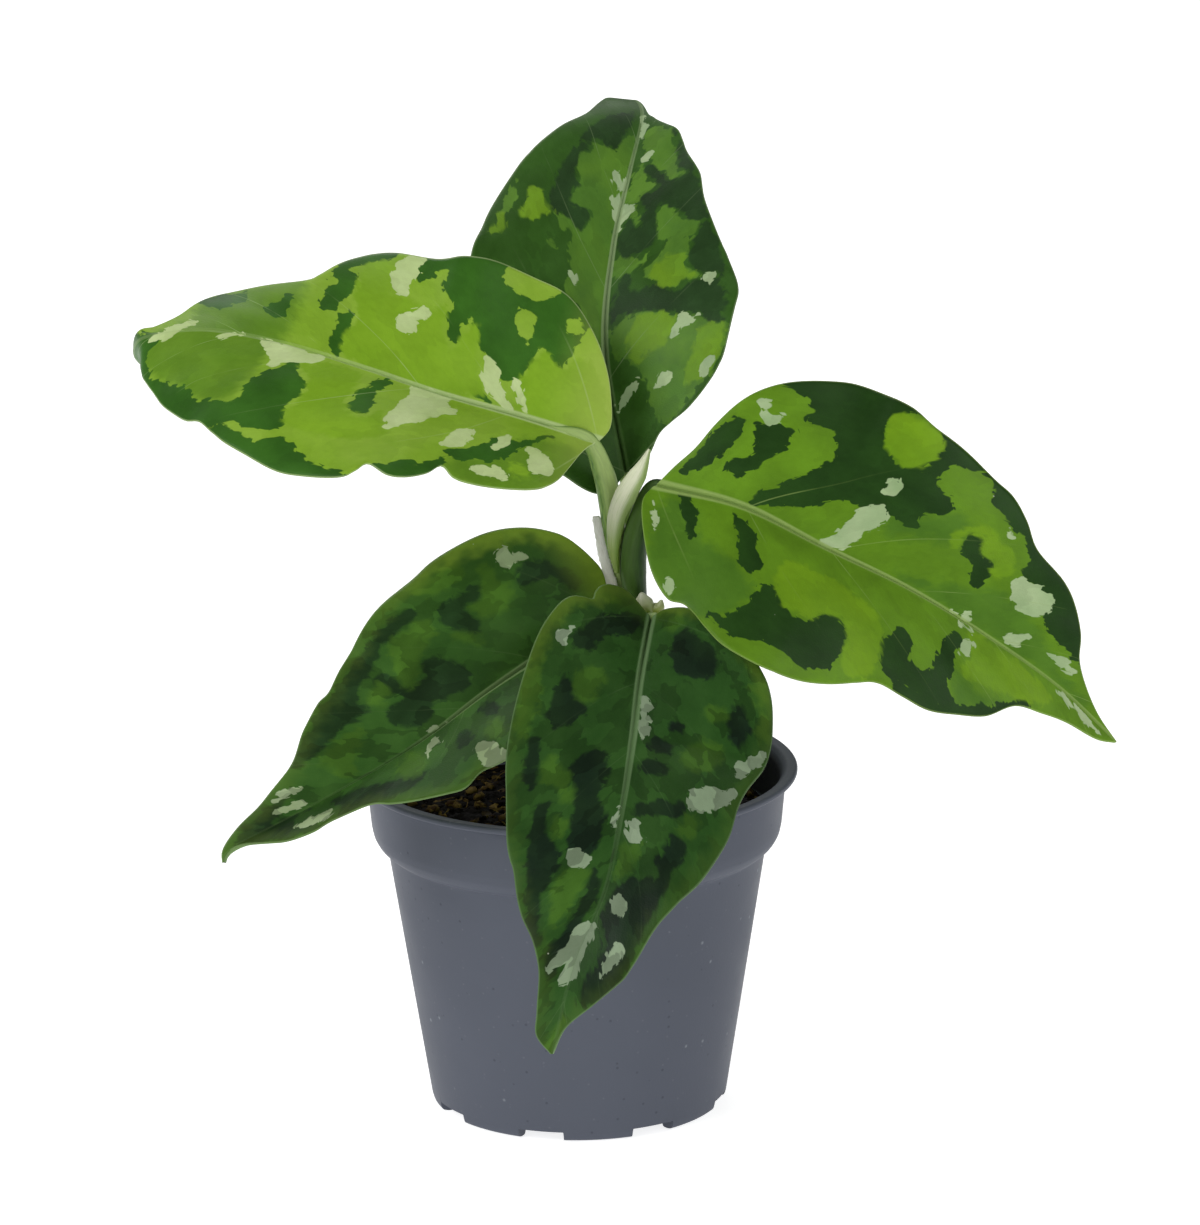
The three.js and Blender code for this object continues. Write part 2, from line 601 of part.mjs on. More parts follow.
function soilSolid() {
  const bottom = POT.floorLift + POT.floorThickness + CLEARANCE;
  const bends = innerWall().map(([, height]) => height);
  const points = [new THREE.Vector3(0, 0, bottom), new THREE.Vector3(0, 0, soilHeight(0, 0))];
  const triangles = [];
  const levels = [bottom, ...bends.filter((z) => z > bottom && z < SOIL.level - 1)];
  const ringAt = (radius, heightOf) => {
    const start = points.length;
    for (let j = 0; j < SOIL.sectors; j += 1) {
      const angle = (2 * Math.PI * j) / SOIL.sectors;
      const x = radius * Math.cos(angle);
      const y = radius * Math.sin(angle);
      points.push(new THREE.Vector3(x, y, heightOf(x, y)));
    }
    return start;
  };
  const rings = levels.map((z) => ringAt(soilRadius(z), () => z));
  for (let i = SOIL.rings; i > 0; i -= 1) {
    rings.push(ringAt((soilRadius(SOIL.level) * i) / SOIL.rings, soilHeight));
  }
  for (let j = 0; j < SOIL.sectors; j += 1) {
    const next = (j + 1) % SOIL.sectors;
    triangles.push([0, rings[0] + next, rings[0] + j]);
    triangles.push([1, rings[rings.length - 1] + j, rings[rings.length - 1] + next]);
    for (let i = 0; i < rings.length - 1; i += 1) {
      const [low, high] = [rings[i], rings[i + 1]];
      triangles.push([low + j, low + next, high + next], [low + j, high + next, high + j]);
    }
  }
  const heap = toManifold(closedGeometry(points, triangles));
  const crumbed = Manifold.union([heap, ...soilCrumbs()]);
  const channels = ROOTS.paths.map((path) => toManifold(rootTube(path, CLEARANCE)));
  return largestBody(crumbed.subtract(Manifold.union([stemRoom(), ...channels])));
}

// Loose lumps of peat and bark, sunk halfway into the surface, clear of the stem and the wall.
function soilCrumbs() {
  const random = randomFrom(SEED);
  const crumbs = [];
  while (crumbs.length < SOIL.crumbs) {
    const radius = lerp(...SOIL.crumbRadius, random() ** 2);
    const reach = (soilRadius(SOIL.level) - radius - 0.4) * Math.sqrt(random());
    const angle = 2 * Math.PI * random();
    const crumb = new THREE.IcosahedronGeometry(radius, 0);
    crumb.scale(1, lerp(0.6, 1, random()), lerp(0.5, 0.8, random()));
    crumb.rotateZ(2 * Math.PI * random());
    const [x, y] = [reach * Math.cos(angle), reach * Math.sin(angle)];
    crumb.translate(x, y, soilHeight(x, y) + 0.1 * radius);
    crumbs.push(toManifold(crumb));
  }
  return crumbs;
}

// ---------------------------------------------------------------- the plant in its pot

add('pot', fromManifold(potSolid()), MATERIALS.pot);
add('soil', fromManifold(soilSolid()), MATERIALS.soil);
add('stem', fromManifold(stemSolid()), MATERIALS.stem);

const LEAF_MATERIALS = {
  back: MATERIALS.matureLeaf,
  left: MATERIALS.youngLeaf,
  right: MATERIALS.matureLeaf,
  low: MATERIALS.oldLeaf,
  front: MATERIALS.oldLeaf,
};
for (const name of Object.keys(LEAVES)) {
  add(`petiole_${name}`, fromManifold(petioleSolid(name)), MATERIALS.petiole);
  add(`leaf_${name}`, bladeGeometry(LEAVES[name]), LEAF_MATERIALS[name]);
}

add('petiole_sheath', strip(SHEATH), MATERIALS.sheath);
add('dry_sheath', strip(DRY_SHEATH), MATERIALS.drySheath);
add('bud', fromManifold(budSolid()), MATERIALS.bud);

export default group;
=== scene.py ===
# %% [markdown]
# # A young camouflage aglaonema in its nursery pot
#
# The object is a small foliage plant, about 13 cm tall, in a 6 cm plastic pot. It has five
# broad leaves on short stalks, each blotched in light green, dark green and silver. Two of
# them are old, dark and drooping, and three are younger and brighter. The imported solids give
# every size and place. This script puts a finely shaped piece in the place of each of them.

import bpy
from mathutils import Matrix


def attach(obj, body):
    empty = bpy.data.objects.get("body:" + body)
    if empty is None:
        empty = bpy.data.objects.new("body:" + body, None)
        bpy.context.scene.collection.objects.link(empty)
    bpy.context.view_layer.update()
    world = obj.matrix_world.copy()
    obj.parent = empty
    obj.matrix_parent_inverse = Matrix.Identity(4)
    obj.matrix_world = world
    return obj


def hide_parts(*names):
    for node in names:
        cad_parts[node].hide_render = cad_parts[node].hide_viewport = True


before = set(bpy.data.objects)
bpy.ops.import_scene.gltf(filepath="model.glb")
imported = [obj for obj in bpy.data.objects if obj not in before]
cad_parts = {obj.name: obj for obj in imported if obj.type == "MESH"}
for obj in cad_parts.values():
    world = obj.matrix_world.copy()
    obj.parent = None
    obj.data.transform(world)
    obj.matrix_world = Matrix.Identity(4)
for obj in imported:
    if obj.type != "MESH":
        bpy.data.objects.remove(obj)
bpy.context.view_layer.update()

# %% Shared tools
import math
from types import SimpleNamespace

import bpy
import numpy as np
from mathutils import Matrix, Vector

MM = 0.001  # shapes are worked out in millimetres, and Blender gets metres

# %% [markdown]
# ## Camera
#
# The picture was taken from straight in front, 16 degrees above the horizon. Blender could aim
# a camera with a constraint. Here its right, up and view directions are written as the columns
# of its matrix, because that also takes the half degree by which the picture leans. A long lens
# from one metre away keeps the leaves that reach forward from looking too big.

# %% Camera
IMAGE_HEIGHT = 1225  # pixels, the long side of the picture
FOCAL_PIXELS = 7420
SENSOR = 36.0
TARGET = Vector((3.4, 0.0, 68.5)) * MM
CAMERA_DISTANCE = 1.0
CAMERA_HEIGHT_ANGLE = math.radians(16)
CAMERA_LEAN = math.radians(-0.5)

ahead = Vector((0, math.cos(CAMERA_HEIGHT_ANGLE), -math.sin(CAMERA_HEIGHT_ANGLE)))
level = Vector((1, 0, 0))
upright = level.cross(ahead)
right = level * math.cos(CAMERA_LEAN) + upright * math.sin(CAMERA_LEAN)
up = upright * math.cos(CAMERA_LEAN) - level * math.sin(CAMERA_LEAN)

lens = bpy.data.cameras.new("camera")
lens.sensor_width = SENSOR
lens.lens = SENSOR * FOCAL_PIXELS / IMAGE_HEIGHT
lens.clip_start, lens.clip_end = 0.05, 50
camera = bpy.data.objects.new("camera", lens)
bpy.context.scene.collection.objects.link(camera)
turn = Matrix((right, up, -ahead)).transposed().to_4x4()
camera.matrix_world = Matrix.Translation(TARGET - ahead * CAMERA_DISTANCE) @ turn
bpy.context.scene.camera = camera
print("lens", round(lens.lens, 1), "mm at", [round(v, 3) for v in camera.location])

# %% [markdown]
# ## Nodes and colours
#
# Every finish below is a small network of shader nodes. Colours are picked as sRGB hex values,
# but a shader adds light in linear units, so one function turns each of them to linear.
# One more function adds a node with its settings and links, whatever the kind of node. The main
# shader is there already, so its sockets are filled by themselves.

# %% Node helpers
def linear(code):
    """A hex colour as linear red, green, blue and alpha. Each channel c is c / 12.92 where it is
    below 0.04045, and ((c + 0.055) / 1.055) to the power 2.4 above."""
    channel = np.array([int(code[i:i + 2], 16) for i in (1, 3, 5)]) / 255
    low = channel / 12.92
    high = ((channel + 0.055) / 1.055) ** 2.4
    return (*np.where(channel < 0.04045, low, high).tolist(), 1.0)


def set_sockets(tree, node, inputs):
    """Fills a node's sockets. inputs gives, for a socket's name or number, a value, or an output
    of another node that is then linked to it. A whole node stands for its first output in use."""
    for key, value in inputs.items():
        if isinstance(value, bpy.types.Node):
            value = next(output for output in value.outputs if output.enabled)
        if isinstance(value, bpy.types.NodeSocket):
            tree.links.new(value, node.inputs[key])
        else:
            node.inputs[key].default_value = value


def add_node(tree, kind, inputs=None, **settings):
    """Adds a node of this kind. settings are its properties, and inputs fill its sockets."""
    node = tree.nodes.new("ShaderNode" + kind)
    for name, value in settings.items():
        setattr(node, name, value)
    set_sockets(tree, node, inputs or {})
    return node


def new_finish(name):
    """A new material with nodes: the material, its tree and its main shader."""
    material = bpy.data.materials.new(name)
    material.use_nodes = True
    tree = material.node_tree
    return material, tree, tree.nodes["Principled BSDF"]


print("black, grey, white:", [round(linear(c)[0], 3) for c in ("#000000", "#808080", "#ffffff")])

# %% [markdown]
# ## Grids, tubes and meshes
#
# A leaf, a stalk or a pot is one smooth sheet that can be numbered like a map, by how far along
# and how far around a point lies. So each shape here is a whole grid of points that numpy works
# out at once, and the faces join each point to its neighbours. This keeps the points in order,
# which sculpting would not, and the order is what later carries the leaf pattern.

# %% Curves
def catmull(points, u):
    """The smooth curve through the points, at u from 0 to 1. Between two points it is the cubic
    whose slope at each end is half the step between that point's two neighbours. Past its ends
    the row of points goes on in mirror image."""
    p = np.asarray(points, float)
    p = np.vstack([2 * p[0] - p[1], p, 2 * p[-1] - p[-2]])
    place = np.clip(u, 0, 1) * (len(p) - 3)
    i = np.minimum(place.astype(int), len(p) - 4)
    f = (place - i)[..., None]
    a, b, c, d = p[i], p[i + 1], p[i + 2], p[i + 3]
    cubic = (2 * a - 5 * b + 4 * c - d) * f ** 2 + (3 * b - a - 3 * c + d) * f ** 3
    return 0.5 * (2 * b + (c - a) * f + cubic)


def lookup(x, known, rows):
    """Each column of rows, which belong to the known places, read at x along straight lines."""
    return np.stack([np.interp(x, known, column) for column in np.asarray(rows).T], -1)


FINE_STEPS = 600  # small steps by which a curve's length is added up


def walk(points, t):
    """The smooth curve through the points at the shares t of its length, and that length. The
    length is the sum of many small steps along it."""
    fine = catmull(points, np.linspace(0, 1, FINE_STEPS))
    run = np.r_[0, np.cumsum(np.linalg.norm(np.diff(fine, axis=0), axis=1))]
    return lookup(np.asarray(t) * run[-1], run, fine), run[-1]


def along(values, t):
    """A value from an evenly spaced list, at the shares t from 0 to 1."""
    return np.interp(np.clip(t, 0, 1), np.linspace(0, 1, len(values)), values)


def smooth(x, low, high):
    """0 below low, 1 above high, and the curve 3s^2 - 2s^3 between them."""
    s = np.clip((x - low) / (high - low), 0, 1)
    return s * s * (3 - 2 * s)


def unit(v):
    """The vectors v, each divided by its length."""
    return v / np.linalg.norm(v, axis=-1, keepdims=True)


print("a quarter along a straight line:", walk([[0, 0], [4, 0], [8, 0]], 0.25)[0])

# %% Faces of a grid
def grid_faces(rows, columns, wrap=False, flip=False):
    """The four-sided faces of a grid whose points are numbered row by row. Each face joins a
    point, the next in its row, and the same two in the next row. wrap joins each row's end to
    its start, and flip turns the faces over."""
    i = np.arange(rows - 1)[:, None] * columns
    j = np.arange(columns if wrap else columns - 1)[None]
    k = (j + 1) % columns
    faces = np.stack([i + j, i + k, i + columns + k, i + columns + j], -1).reshape(-1, 4)
    return faces[:, ::-1] if flip else faces


def joined(*shapes):
    """Several shapes as one: their points in one list, and their face numbers moved to match."""
    starts = np.cumsum([0] + [len(points) for points, _ in shapes])
    faces = [f + start for (_, part), start in zip(shapes, starts) for f in part]
    return np.vstack([points for points, _ in shapes]), faces


def closed_sheet(front, back):
    """Two grids of the same size, the front seen from outside with rows running up and columns
    running left, closed into one solid by a strip of faces around their common edge."""
    rows, columns = front.shape[:2]
    number = np.arange(rows * columns).reshape(rows, columns)
    edge = np.concatenate([number[0], number[1:, -1], number[-1, -2::-1], number[-2:0:-1, 0]])
    after = np.roll(edge, -1)
    under = rows * columns
    rim = np.stack([edge, after, after + under, edge + under], -1)
    points = np.concatenate([front.reshape(-1, 3), back.reshape(-1, 3)])
    top = grid_faces(rows, columns, flip=True)
    bottom = grid_faces(rows, columns) + under
    return points, [top, bottom, rim]


print("faces of a 3 by 4 grid:", len(grid_faces(3, 4)))
print("and of one that is wrapped:", len(grid_faces(3, 4, wrap=True)))

# %% Tubes
def tube(path, radii, sides, steps, facing=(0, -1, 0), section=None):
    """A round shape along a curve. At each step a ring stands square to the curve: its points are
    the centre plus the radius times (cos angle * side + sin angle * front), where side is square
    to the curve and to the way it faces. section(t, angle) multiplies the radius. A point in the
    middle of each end closes it."""
    t = np.linspace(0, 1, steps)
    centre, _ = walk(path, t)
    run = unit(np.gradient(centre, axis=0))
    side = unit(np.cross(np.broadcast_to(np.asarray(facing, float), run.shape), run))
    front = np.cross(run, side)
    angle = np.linspace(0, 2 * np.pi, sides, endpoint=False)
    radius = along(radii, t)[:, None] * np.ones(sides)
    if section is not None:
        radius = radius * section(t[:, None], angle[None])
    turn = angle[None, :, None]
    spoke = np.cos(turn) * side[:, None] + np.sin(turn) * front[:, None]
    rings = (centre[:, None] + radius[..., None] * spoke).reshape(-1, 3)
    j = np.arange(sides)
    k = (j + 1) % sides
    foot = np.full(sides, steps * sides)
    last = (steps - 1) * sides
    ends = [np.stack([foot, k, j], -1), np.stack([foot + 1, last + j, last + k], -1)]
    points = np.vstack([rings, centre[:1], centre[-1:]])
    return points, [grid_faces(steps, sides, wrap=True), *ends]


print("points of a plain tube:", len(tube([[0, 0, 0], [0, 0, 5], [0, 0, 9]], [1, 1], 12, 6)[0]))

# %% From a shape to a piece
def build_piece(name, shape, node, material, attributes=None):
    """Makes the Blender mesh of a shape in millimetres: all points at once, then all corners of
    all faces, with smooth shading. attributes gives one number or three for each point. The
    piece then stands for the solid of that name and takes its slot."""
    points, faces = shape
    corners = np.concatenate([f.ravel() for f in faces])
    counts = np.concatenate([np.full(len(f), f.shape[1]) for f in faces])
    mesh = bpy.data.meshes.new(name)
    mesh.vertices.add(len(points))
    mesh.vertices.foreach_set("co", (points * MM).astype(np.float32).ravel())
    mesh.loops.add(len(corners))
    mesh.loops.foreach_set("vertex_index", corners.astype(np.int32))
    mesh.polygons.add(len(counts))
    mesh.polygons.foreach_set("loop_start", (np.cumsum(counts) - counts).astype(np.int32))
    mesh.polygons.foreach_set("use_smooth", np.ones(len(counts), bool))
    mesh.update(calc_edges=True)
    for label, values in (attributes or {}).items():
        kind, field = ("FLOAT", "value") if values.ndim == 1 else ("FLOAT_VECTOR", "vector")
        data = mesh.attributes.new(label, kind, "POINT").data
        data.foreach_set(field, values.astype(np.float32).ravel())
    mesh.validate()
    mesh.materials.append(material)
    piece = bpy.data.objects.new(name, mesh)
    bpy.context.scene.collection.objects.link(piece)
    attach(piece, "root")
    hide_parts(node)
    print(name, "points", len(points), "faces", len(counts))
    return piece

# %% [markdown]
# ## Floor and light
#
# Small plants are often photographed on a white acrylic sheet that is lit from below, so that
# hardly any shadow shows. Two big soft lamps, one brighter than the other, leave every leaf a
# light side and a dull side. Sun lamps would give hard shadows, and one even sky would flatten
# the folds. Area lamps left and right of the camera, over a dim sky, show the folds instead.

# %% Floor
GLOW = 0.8  # light that comes through the sheet from below
HALF_FLOOR = 4.0  # metres
SANDING_PER_METRE = 900.0  # clouds of 1.1 mm


def plain_floor(half_width):
    """A flat square grid of four points at height 0, reaching half_width metres each way."""
    x, y = np.meshgrid([-half_width, half_width], [-half_width, half_width])
    return np.stack([x, y, 0 * x], -1).reshape(-1, 3)


sheet, sheet_tree, sheet_shader = new_finish("acrylic_opal_white_sanded")
on_floor = add_node(sheet_tree, "TexCoord").outputs["Object"]
clouds = add_node(sheet_tree, "TexNoise", {"Vector": on_floor, "Scale": SANDING_PER_METRE,
                                           "Detail": 2.0})
milky = add_node(sheet_tree, "Mix", {0: clouds, 6: linear("#cccccc"), 7: linear("#d2d2d2")},
                 data_type="RGBA")
set_sockets(sheet_tree, sheet_shader, {
    "Base Color": milky, "Roughness": 0.9, "Specular IOR Level": 0.2,
    "Emission Color": linear("#ffffff"), "Emission Strength": GLOW})

floor_mesh = bpy.data.meshes.new("floor")
floor_mesh.from_pydata(plain_floor(HALF_FLOOR).tolist(), [], [[0, 1, 3, 2]])
floor_mesh.materials.append(sheet)
floor = bpy.data.objects.new("floor", floor_mesh)
bpy.context.scene.collection.objects.link(floor)
print("floor", [round(v, 1) for v in floor.dimensions], "m")

# %% Lamps
SKY_STRENGTH = 0.2
LAMPS = {  # place in metres, width in metres, power in watts
    "lamp_left": ((-1.3, -1.1, 1.3), 1.2, 22),
    "lamp_right": ((1.4, -0.9, 1.0), 1.0, 8),
    "lamp_back": ((-0.3, 1.5, 1.6), 1.4, 15),
}

sky = bpy.data.worlds.new("sky")
sky.use_nodes = True
set_sockets(sky.node_tree, sky.node_tree.nodes["Background"],
            {"Color": linear("#ffffff"), "Strength": SKY_STRENGTH})
bpy.context.scene.world = sky
bpy.context.scene.view_settings.view_transform = "Standard"

for name, (place, width, power) in LAMPS.items():
    lamp = bpy.data.lights.new(name, "AREA")
    lamp.size = width
    lamp.energy = power
    holder = bpy.data.objects.new(name, lamp)
    holder.location = place
    holder.rotation_euler = (TARGET - Vector(place)).to_track_quat("-Z", "Y").to_euler()
    bpy.context.scene.collection.objects.link(holder)
print("lamps:", ", ".join(f"{name} {power} W" for name, (_, _, power) in LAMPS.items()))

# %% [markdown]
# ## Leaf shapes
#
# An aglaonema leaf is a pointed oval about 7 cm long and 4 cm wide. It folds a little along its
# midrib, arches down on its way out, and waves along its margin. It could be sculpted, or bent
# with modifiers from a flat plane. Here a leaf is described flat, as distances along and across
# its midrib, and one function bends any such point into place. That keeps the true length of
# the blade and lets the blotches be drawn on the flat leaf, where they are easy to measure.
#
# Each leaf gets: the curve of its midrib, the way it heads, its roll, how steeply each half
# rises from the midrib, the waves of its margin, and its outline on either side. These are the
# same sizes that the solids were made from.

# %% Sizes of the leaves
LEAVES = {
    "back": {
        "midrib": [[7, 5, 86.6], [4.4, 11, 102], [5.6, 19.5, 114], [8, 29.5, 122.5],
                   [9.8, 38, 128.3], [8.6, 44.5, 129.2], [6.9, 49, 126.2]],
        "heading": 88, "roll": [0, 0],
        "fold": ([32, 20, 12, 4], [32, 20, 12, 4]),
        "wave": (0.9, 3, 0.5, 2),
        "outline": (
            [[-2.5, 3.5], [-1, 7.5], [5, 13], [13, 17.2], [20, 19], [27, 19], [31, 18.2],
             [35, 17.3], [40, 15.8], [45, 14], [50, 11], [54, 8.5], [58, 6.8], [62, 4.5], [68, 0]],
            [[0.3, 2.4], [1.8, 4.3], [4.1, 6.2], [5.3, 8.3], [6.6, 10.9], [8.8, 13.6],
             [11.3, 15.7], [14.6, 17.1], [22, 18.1], [26.5, 18.1], [32.8, 15.2], [40.3, 11.5],
             [45.2, 9.8], [49.2, 7.3], [51.2, 6.3], [53, 5.2], [54, 3.4], [55.2, 1.7], [57.5, 0.6],
             [68, 0.1]]),
    },
    "left": {
        "midrib": [[3.3, -2, 92.7], [-7, -3.3, 96.5], [-17.4, -4.6, 100], [-27.7, -4.9, 103.8],
                   [-38.2, -3.9, 107], [-48.7, -1.1, 108.3], [-57, 2.5, 106.5],
                   [-58.8, 7.5, 103], [-57.5, 11.5, 100]],
        "heading": 180, "roll": [-50, -46, -40, -38],
        "fold": ([34, 25, 2, -4], [28, 18, -8, -40]),
        "wave": (0.9, 3.5, 0, 1),
        "outline": (
            [[2, 3], [5, 10.2], [7, 13], [9, 14.3], [12, 15], [17, 15.5], [19.5, 15.3], [21, 13.9],
             [22.5, 16], [25, 18], [27, 18.3], [29.3, 17], [30.5, 18.5], [32, 19.8], [36, 20.1],
             [40, 19.9], [46, 18], [49, 16.2], [51.5, 14.5], [54, 14.2], [57, 13], [60, 11],
             [62, 8.5], [64, 6], [66, 4], [76, 0]],
            [[-1, 2.5], [0, 6], [2, 10], [5, 14], [9, 18], [13, 19.5], [18, 20.2], [24, 19.5],
             [28, 18.5], [33.5, 19.3], [36.5, 18.8], [39, 17.3], [41, 15.5], [43, 13],
             [44.5, 11.8], [50, 10.3], [54.5, 8.9], [57, 7.7], [59, 5.8], [61, 3.4], [64, 2.2],
             [68, 2], [76, 0]]),
    },
    "right": {
        "midrib": [[11, -3, 87], [22.5, -5.3, 84.5], [33.5, -6.5, 79], [44.5, -7, 73.5],
                   [54.7, -7, 67], [64.6, -6.6, 59.6], [73, -5, 51]],
        "heading": 0, "roll": [60, 60],
        "fold": ([18, 18, 14, 10], [22, 28, 18, 10]),
        "wave": (0.8, 3, 0, 2.5),
        "outline": (
            [[1.9, 3], [4.2, 6.1], [6.1, 9.8], [8.7, 14.2], [11.8, 17.8], [15, 20.4], [18, 22],
             [22, 22.5], [27, 22.2], [31, 21], [35, 20.3], [40, 19], [43, 18.3], [46, 16.3],
             [49, 13.7], [54, 12], [57, 10.2], [59.5, 7.6], [61.5, 4.6], [64, 2.7], [68, 1],
             [73, 0]],
            [[-1, 3], [0.5, 8], [3, 13.5], [6, 16.8], [9, 17.3], [14, 20], [18, 21.8], [23, 22.2],
             [27, 21.3], [31, 19.4], [35, 17], [38, 15.5], [42, 15.3], [46, 14.8], [50, 12.8],
             [54, 10.3], [57, 6.5], [61, 4.8], [65, 3.3], [70, 1.9], [73, 0]]),
    },
    "low": {
        "midrib": [[4.7, -4, 69], [-3.8, -9.7, 65.6], [-12, -15.6, 61.7], [-20, -21.3, 57.2],
                   [-28.8, -26, 53], [-38.3, -29, 48.6], [-45.2, -30, 45.2], [-46.7, -30, 43]],
        "heading": 215, "roll": [-25, -25],
        "fold": ([0, 20, 26, 26], [34, 28, 26, 26]),
        "wave": (0.7, 3, 1, 0),
        "outline": (
            [[1.5, 2.5], [3, 6.5], [6.5, 11], [12, 14], [20, 14.8], [26, 14], [30, 12.9],
             [32, 12.4], [34.8, 13.4], [37, 12.7], [40, 11], [42.5, 9], [44.5, 6.8], [49, 5.6],
             [52, 5.8], [55, 5], [57.5, 3], [61, 0.5], [64.7, 0]],
            [[-2.45, 5], [-2.45, 8], [-1.2, 12], [0.7, 14.3], [4, 16.5], [9, 18.6], [14.6, 19.7],
             [19, 19], [26, 17.7], [35, 15], [39.5, 12.7], [42, 12], [46, 9.6], [50, 6.3],
             [56, 3.6], [60, 2.2], [64.7, 0]]),
    },
    "front": {
        "midrib": [[10.2, -8, 69.7], [8.6, -18.4, 64.5], [7.5, -28.6, 59], [6, -38.3, 52.4],
                   [3.8, -46.6, 44.5], [-0.6, -52, 35.2], [-3.3, -54, 24.3]],
        "heading": 262, "roll": [0, 0],
        "fold": ([30, -3, 8, 8], [42, 20, 14, 8]),
        "wave": (0.6, 3, 0, 2),
        "outline": (
            [[-1, 2.5], [1, 7], [6, 12.8], [11.5, 16.5], [15, 17.8], [19, 18.2], [22, 18.2],
             [26, 17.5], [30, 15.8], [33, 15], [37, 14.6], [40, 13.8], [44, 12], [47, 9.8],
             [50, 8.2], [55, 7.4], [58, 6.6], [62, 4], [66, 1], [70, 0]],
            [[-2.3, 4.1], [-1.9, 6.6], [-0.7, 8.2], [0.9, 8.9], [2.2, 9], [2.6, 10.3],
             [3.4, 12], [5.4, 13.4], [9.5, 14.8], [15, 15.5], [26, 16.2], [31.5, 16], [38, 14.9],
             [44, 13.8], [48.4, 12.3], [52, 10.7], [54.6, 8.8], [57, 6], [60, 4.1], [64.6, 3.2],
             [67.8, 2.6], [70, 0]]),
    },
}
lengths = {name: round(float(walk(leaf["midrib"], 1)[1]), 1) for name, leaf in LEAVES.items()}
print("leaf lengths:", lengths, "mm")

# %% Bending the flat leaf into place
ARCH = math.radians(-0.8)  # by which a half bends down for each millimetre out
WAVE_FULL = 20  # mm out at which a wave has its full height
RIB_STEPS = 300  # places along a midrib where its directions are worked out
VEIN_SPACING = 12.5  # between side veins, along the midrib
VEIN_DEPTH = 0.09
VEIN_LEAN = 0.55  # mm forward for each mm out
VEIN_SPREAD = 0.033  # more of that for each mm that the vein starts further along
VEIN_CURL = 0.018


def vein_start(a, distance):
    """Where on the midrib the side vein through a point starts. A vein goes forward by its lean
    plus the spread times its start for each millimetre out, so the start is the distance along
    less the lean per millimetre out, divided by 1 plus the spread per millimetre out. It curls
    forward towards the margin, as if it had run 1.8% further for each millimetre out."""
    out = distance * (1 + VEIN_CURL * distance)
    return (a - VEIN_LEAN * out) / (1 + VEIN_SPREAD * out)


def bend_blade(leaf, a, b):
    """Points of the blade in space, for distances a along and b across, left positive. The midrib
    curve gives the place and its own direction. The side direction is level and square to it,
    turned by the roll. From there a half rises at its fold angle and bends down at a steady
    rate, so it goes out by (sin(fold + bend) - sin(fold)) / rate and up by (cos(fold) -
    cos(fold + bend)) / rate. Waves grow with the square of the distance out, and the blade
    swells between its side veins."""
    share = np.linspace(0, 1, RIB_STEPS)
    rib, length = walk(leaf["midrib"], share)
    run = unit(np.gradient(rib, axis=0))
    heading = math.radians(leaf["heading"])
    flat = np.array([-math.sin(heading), math.cos(heading), 0])
    side = unit(flat - (run @ flat)[:, None] * run)
    above = np.cross(run, side)
    roll = np.radians(along(leaf["roll"], share))[:, None]
    side, above = (side * np.cos(roll) + above * np.sin(roll),
                   above * np.cos(roll) - side * np.sin(roll))
    t = np.clip(a / length, 0, 1)
    centre, ahead_of, out_of, up_of = (lookup(t, share, rows) for rows in (rib, run, side, above))
    centre = centre + (a - t * length)[..., None] * ahead_of
    is_left = b >= 0
    distance = np.abs(b)
    fold = np.radians(np.where(is_left, along(leaf["fold"][0], t), along(leaf["fold"][1], t)))
    out = (np.sin(fold + ARCH * distance) - np.sin(fold)) / ARCH
    rise = (np.cos(fold) - np.cos(fold + ARCH * distance)) / ARCH
    height, count, left_phase, right_phase = leaf["wave"]
    phase = 2 * np.pi * count * a / length + np.where(is_left, left_phase, right_phase)
    rise = rise + height * (distance / WAVE_FULL) ** 2 * np.sin(phase)
    swell = np.cos(2 * np.pi * vein_start(a, distance) / VEIN_SPACING)
    rise = rise - VEIN_DEPTH * swell * smooth(distance, 1, 6)
    return centre + (np.sign(b) * out)[..., None] * out_of + rise[..., None] * up_of


tip = bend_blade(LEAVES["left"], np.array([76.0]), np.array([0.0]))
print("tip of the left leaf:", tip.round(1))

# %% Grid of a flat leaf
ROWS = 230
HALF_COLUMNS = 58
ROW_ENDS = (0.006, 0.996)  # shares of the outline at which the first and last row lie
SWEEP = 1.35  # rows lean forward, as the side veins do
CROWDING = 1.6  # by which columns crowd towards the midrib


def flat_leaf(leaf):
    """The flat leaf as a grid: distance along, distance across, share of the way from midrib to
    margin (right side negative), and millimetres left to the margin. A row joins the midrib at
    length * t^1.35 to the margin at the share t of its outline. Columns lie closer together
    near the midrib, where the rib is only half a millimetre wide."""
    _, length = walk(leaf["midrib"], 1)
    t = np.linspace(*ROW_ENDS, ROWS)
    even = np.linspace(0, 1, HALF_COLUMNS + 1)
    share = 0.12 * even + 0.88 * even ** CROWDING
    halves = []
    for outline, sign in zip(leaf["outline"], (1, -1)):
        margin, _ = walk([[0, 0]] + [[a * length / outline[-1][0], b] for a, b in outline], t)
        root = np.stack([length * t ** SWEEP, 0 * t], -1)
        grid = root[:, None] + (margin - root)[:, None] * share[None, :, None]
        reach = np.linalg.norm(margin - root, axis=-1)[:, None]
        halves.append((grid[..., 0], sign * grid[..., 1], sign * share + 0 * reach,
                       reach * (1 - share)))
    left, right = halves
    return [np.hstack([r[:, :0:-1], l]) for l, r in zip(left, right)], length


(sample_a, sample_b, _, _), _ = flat_leaf(LEAVES["front"])
print("grid", sample_a.shape, "widest", round(float(sample_b.max() - sample_b.min()), 1), "mm")

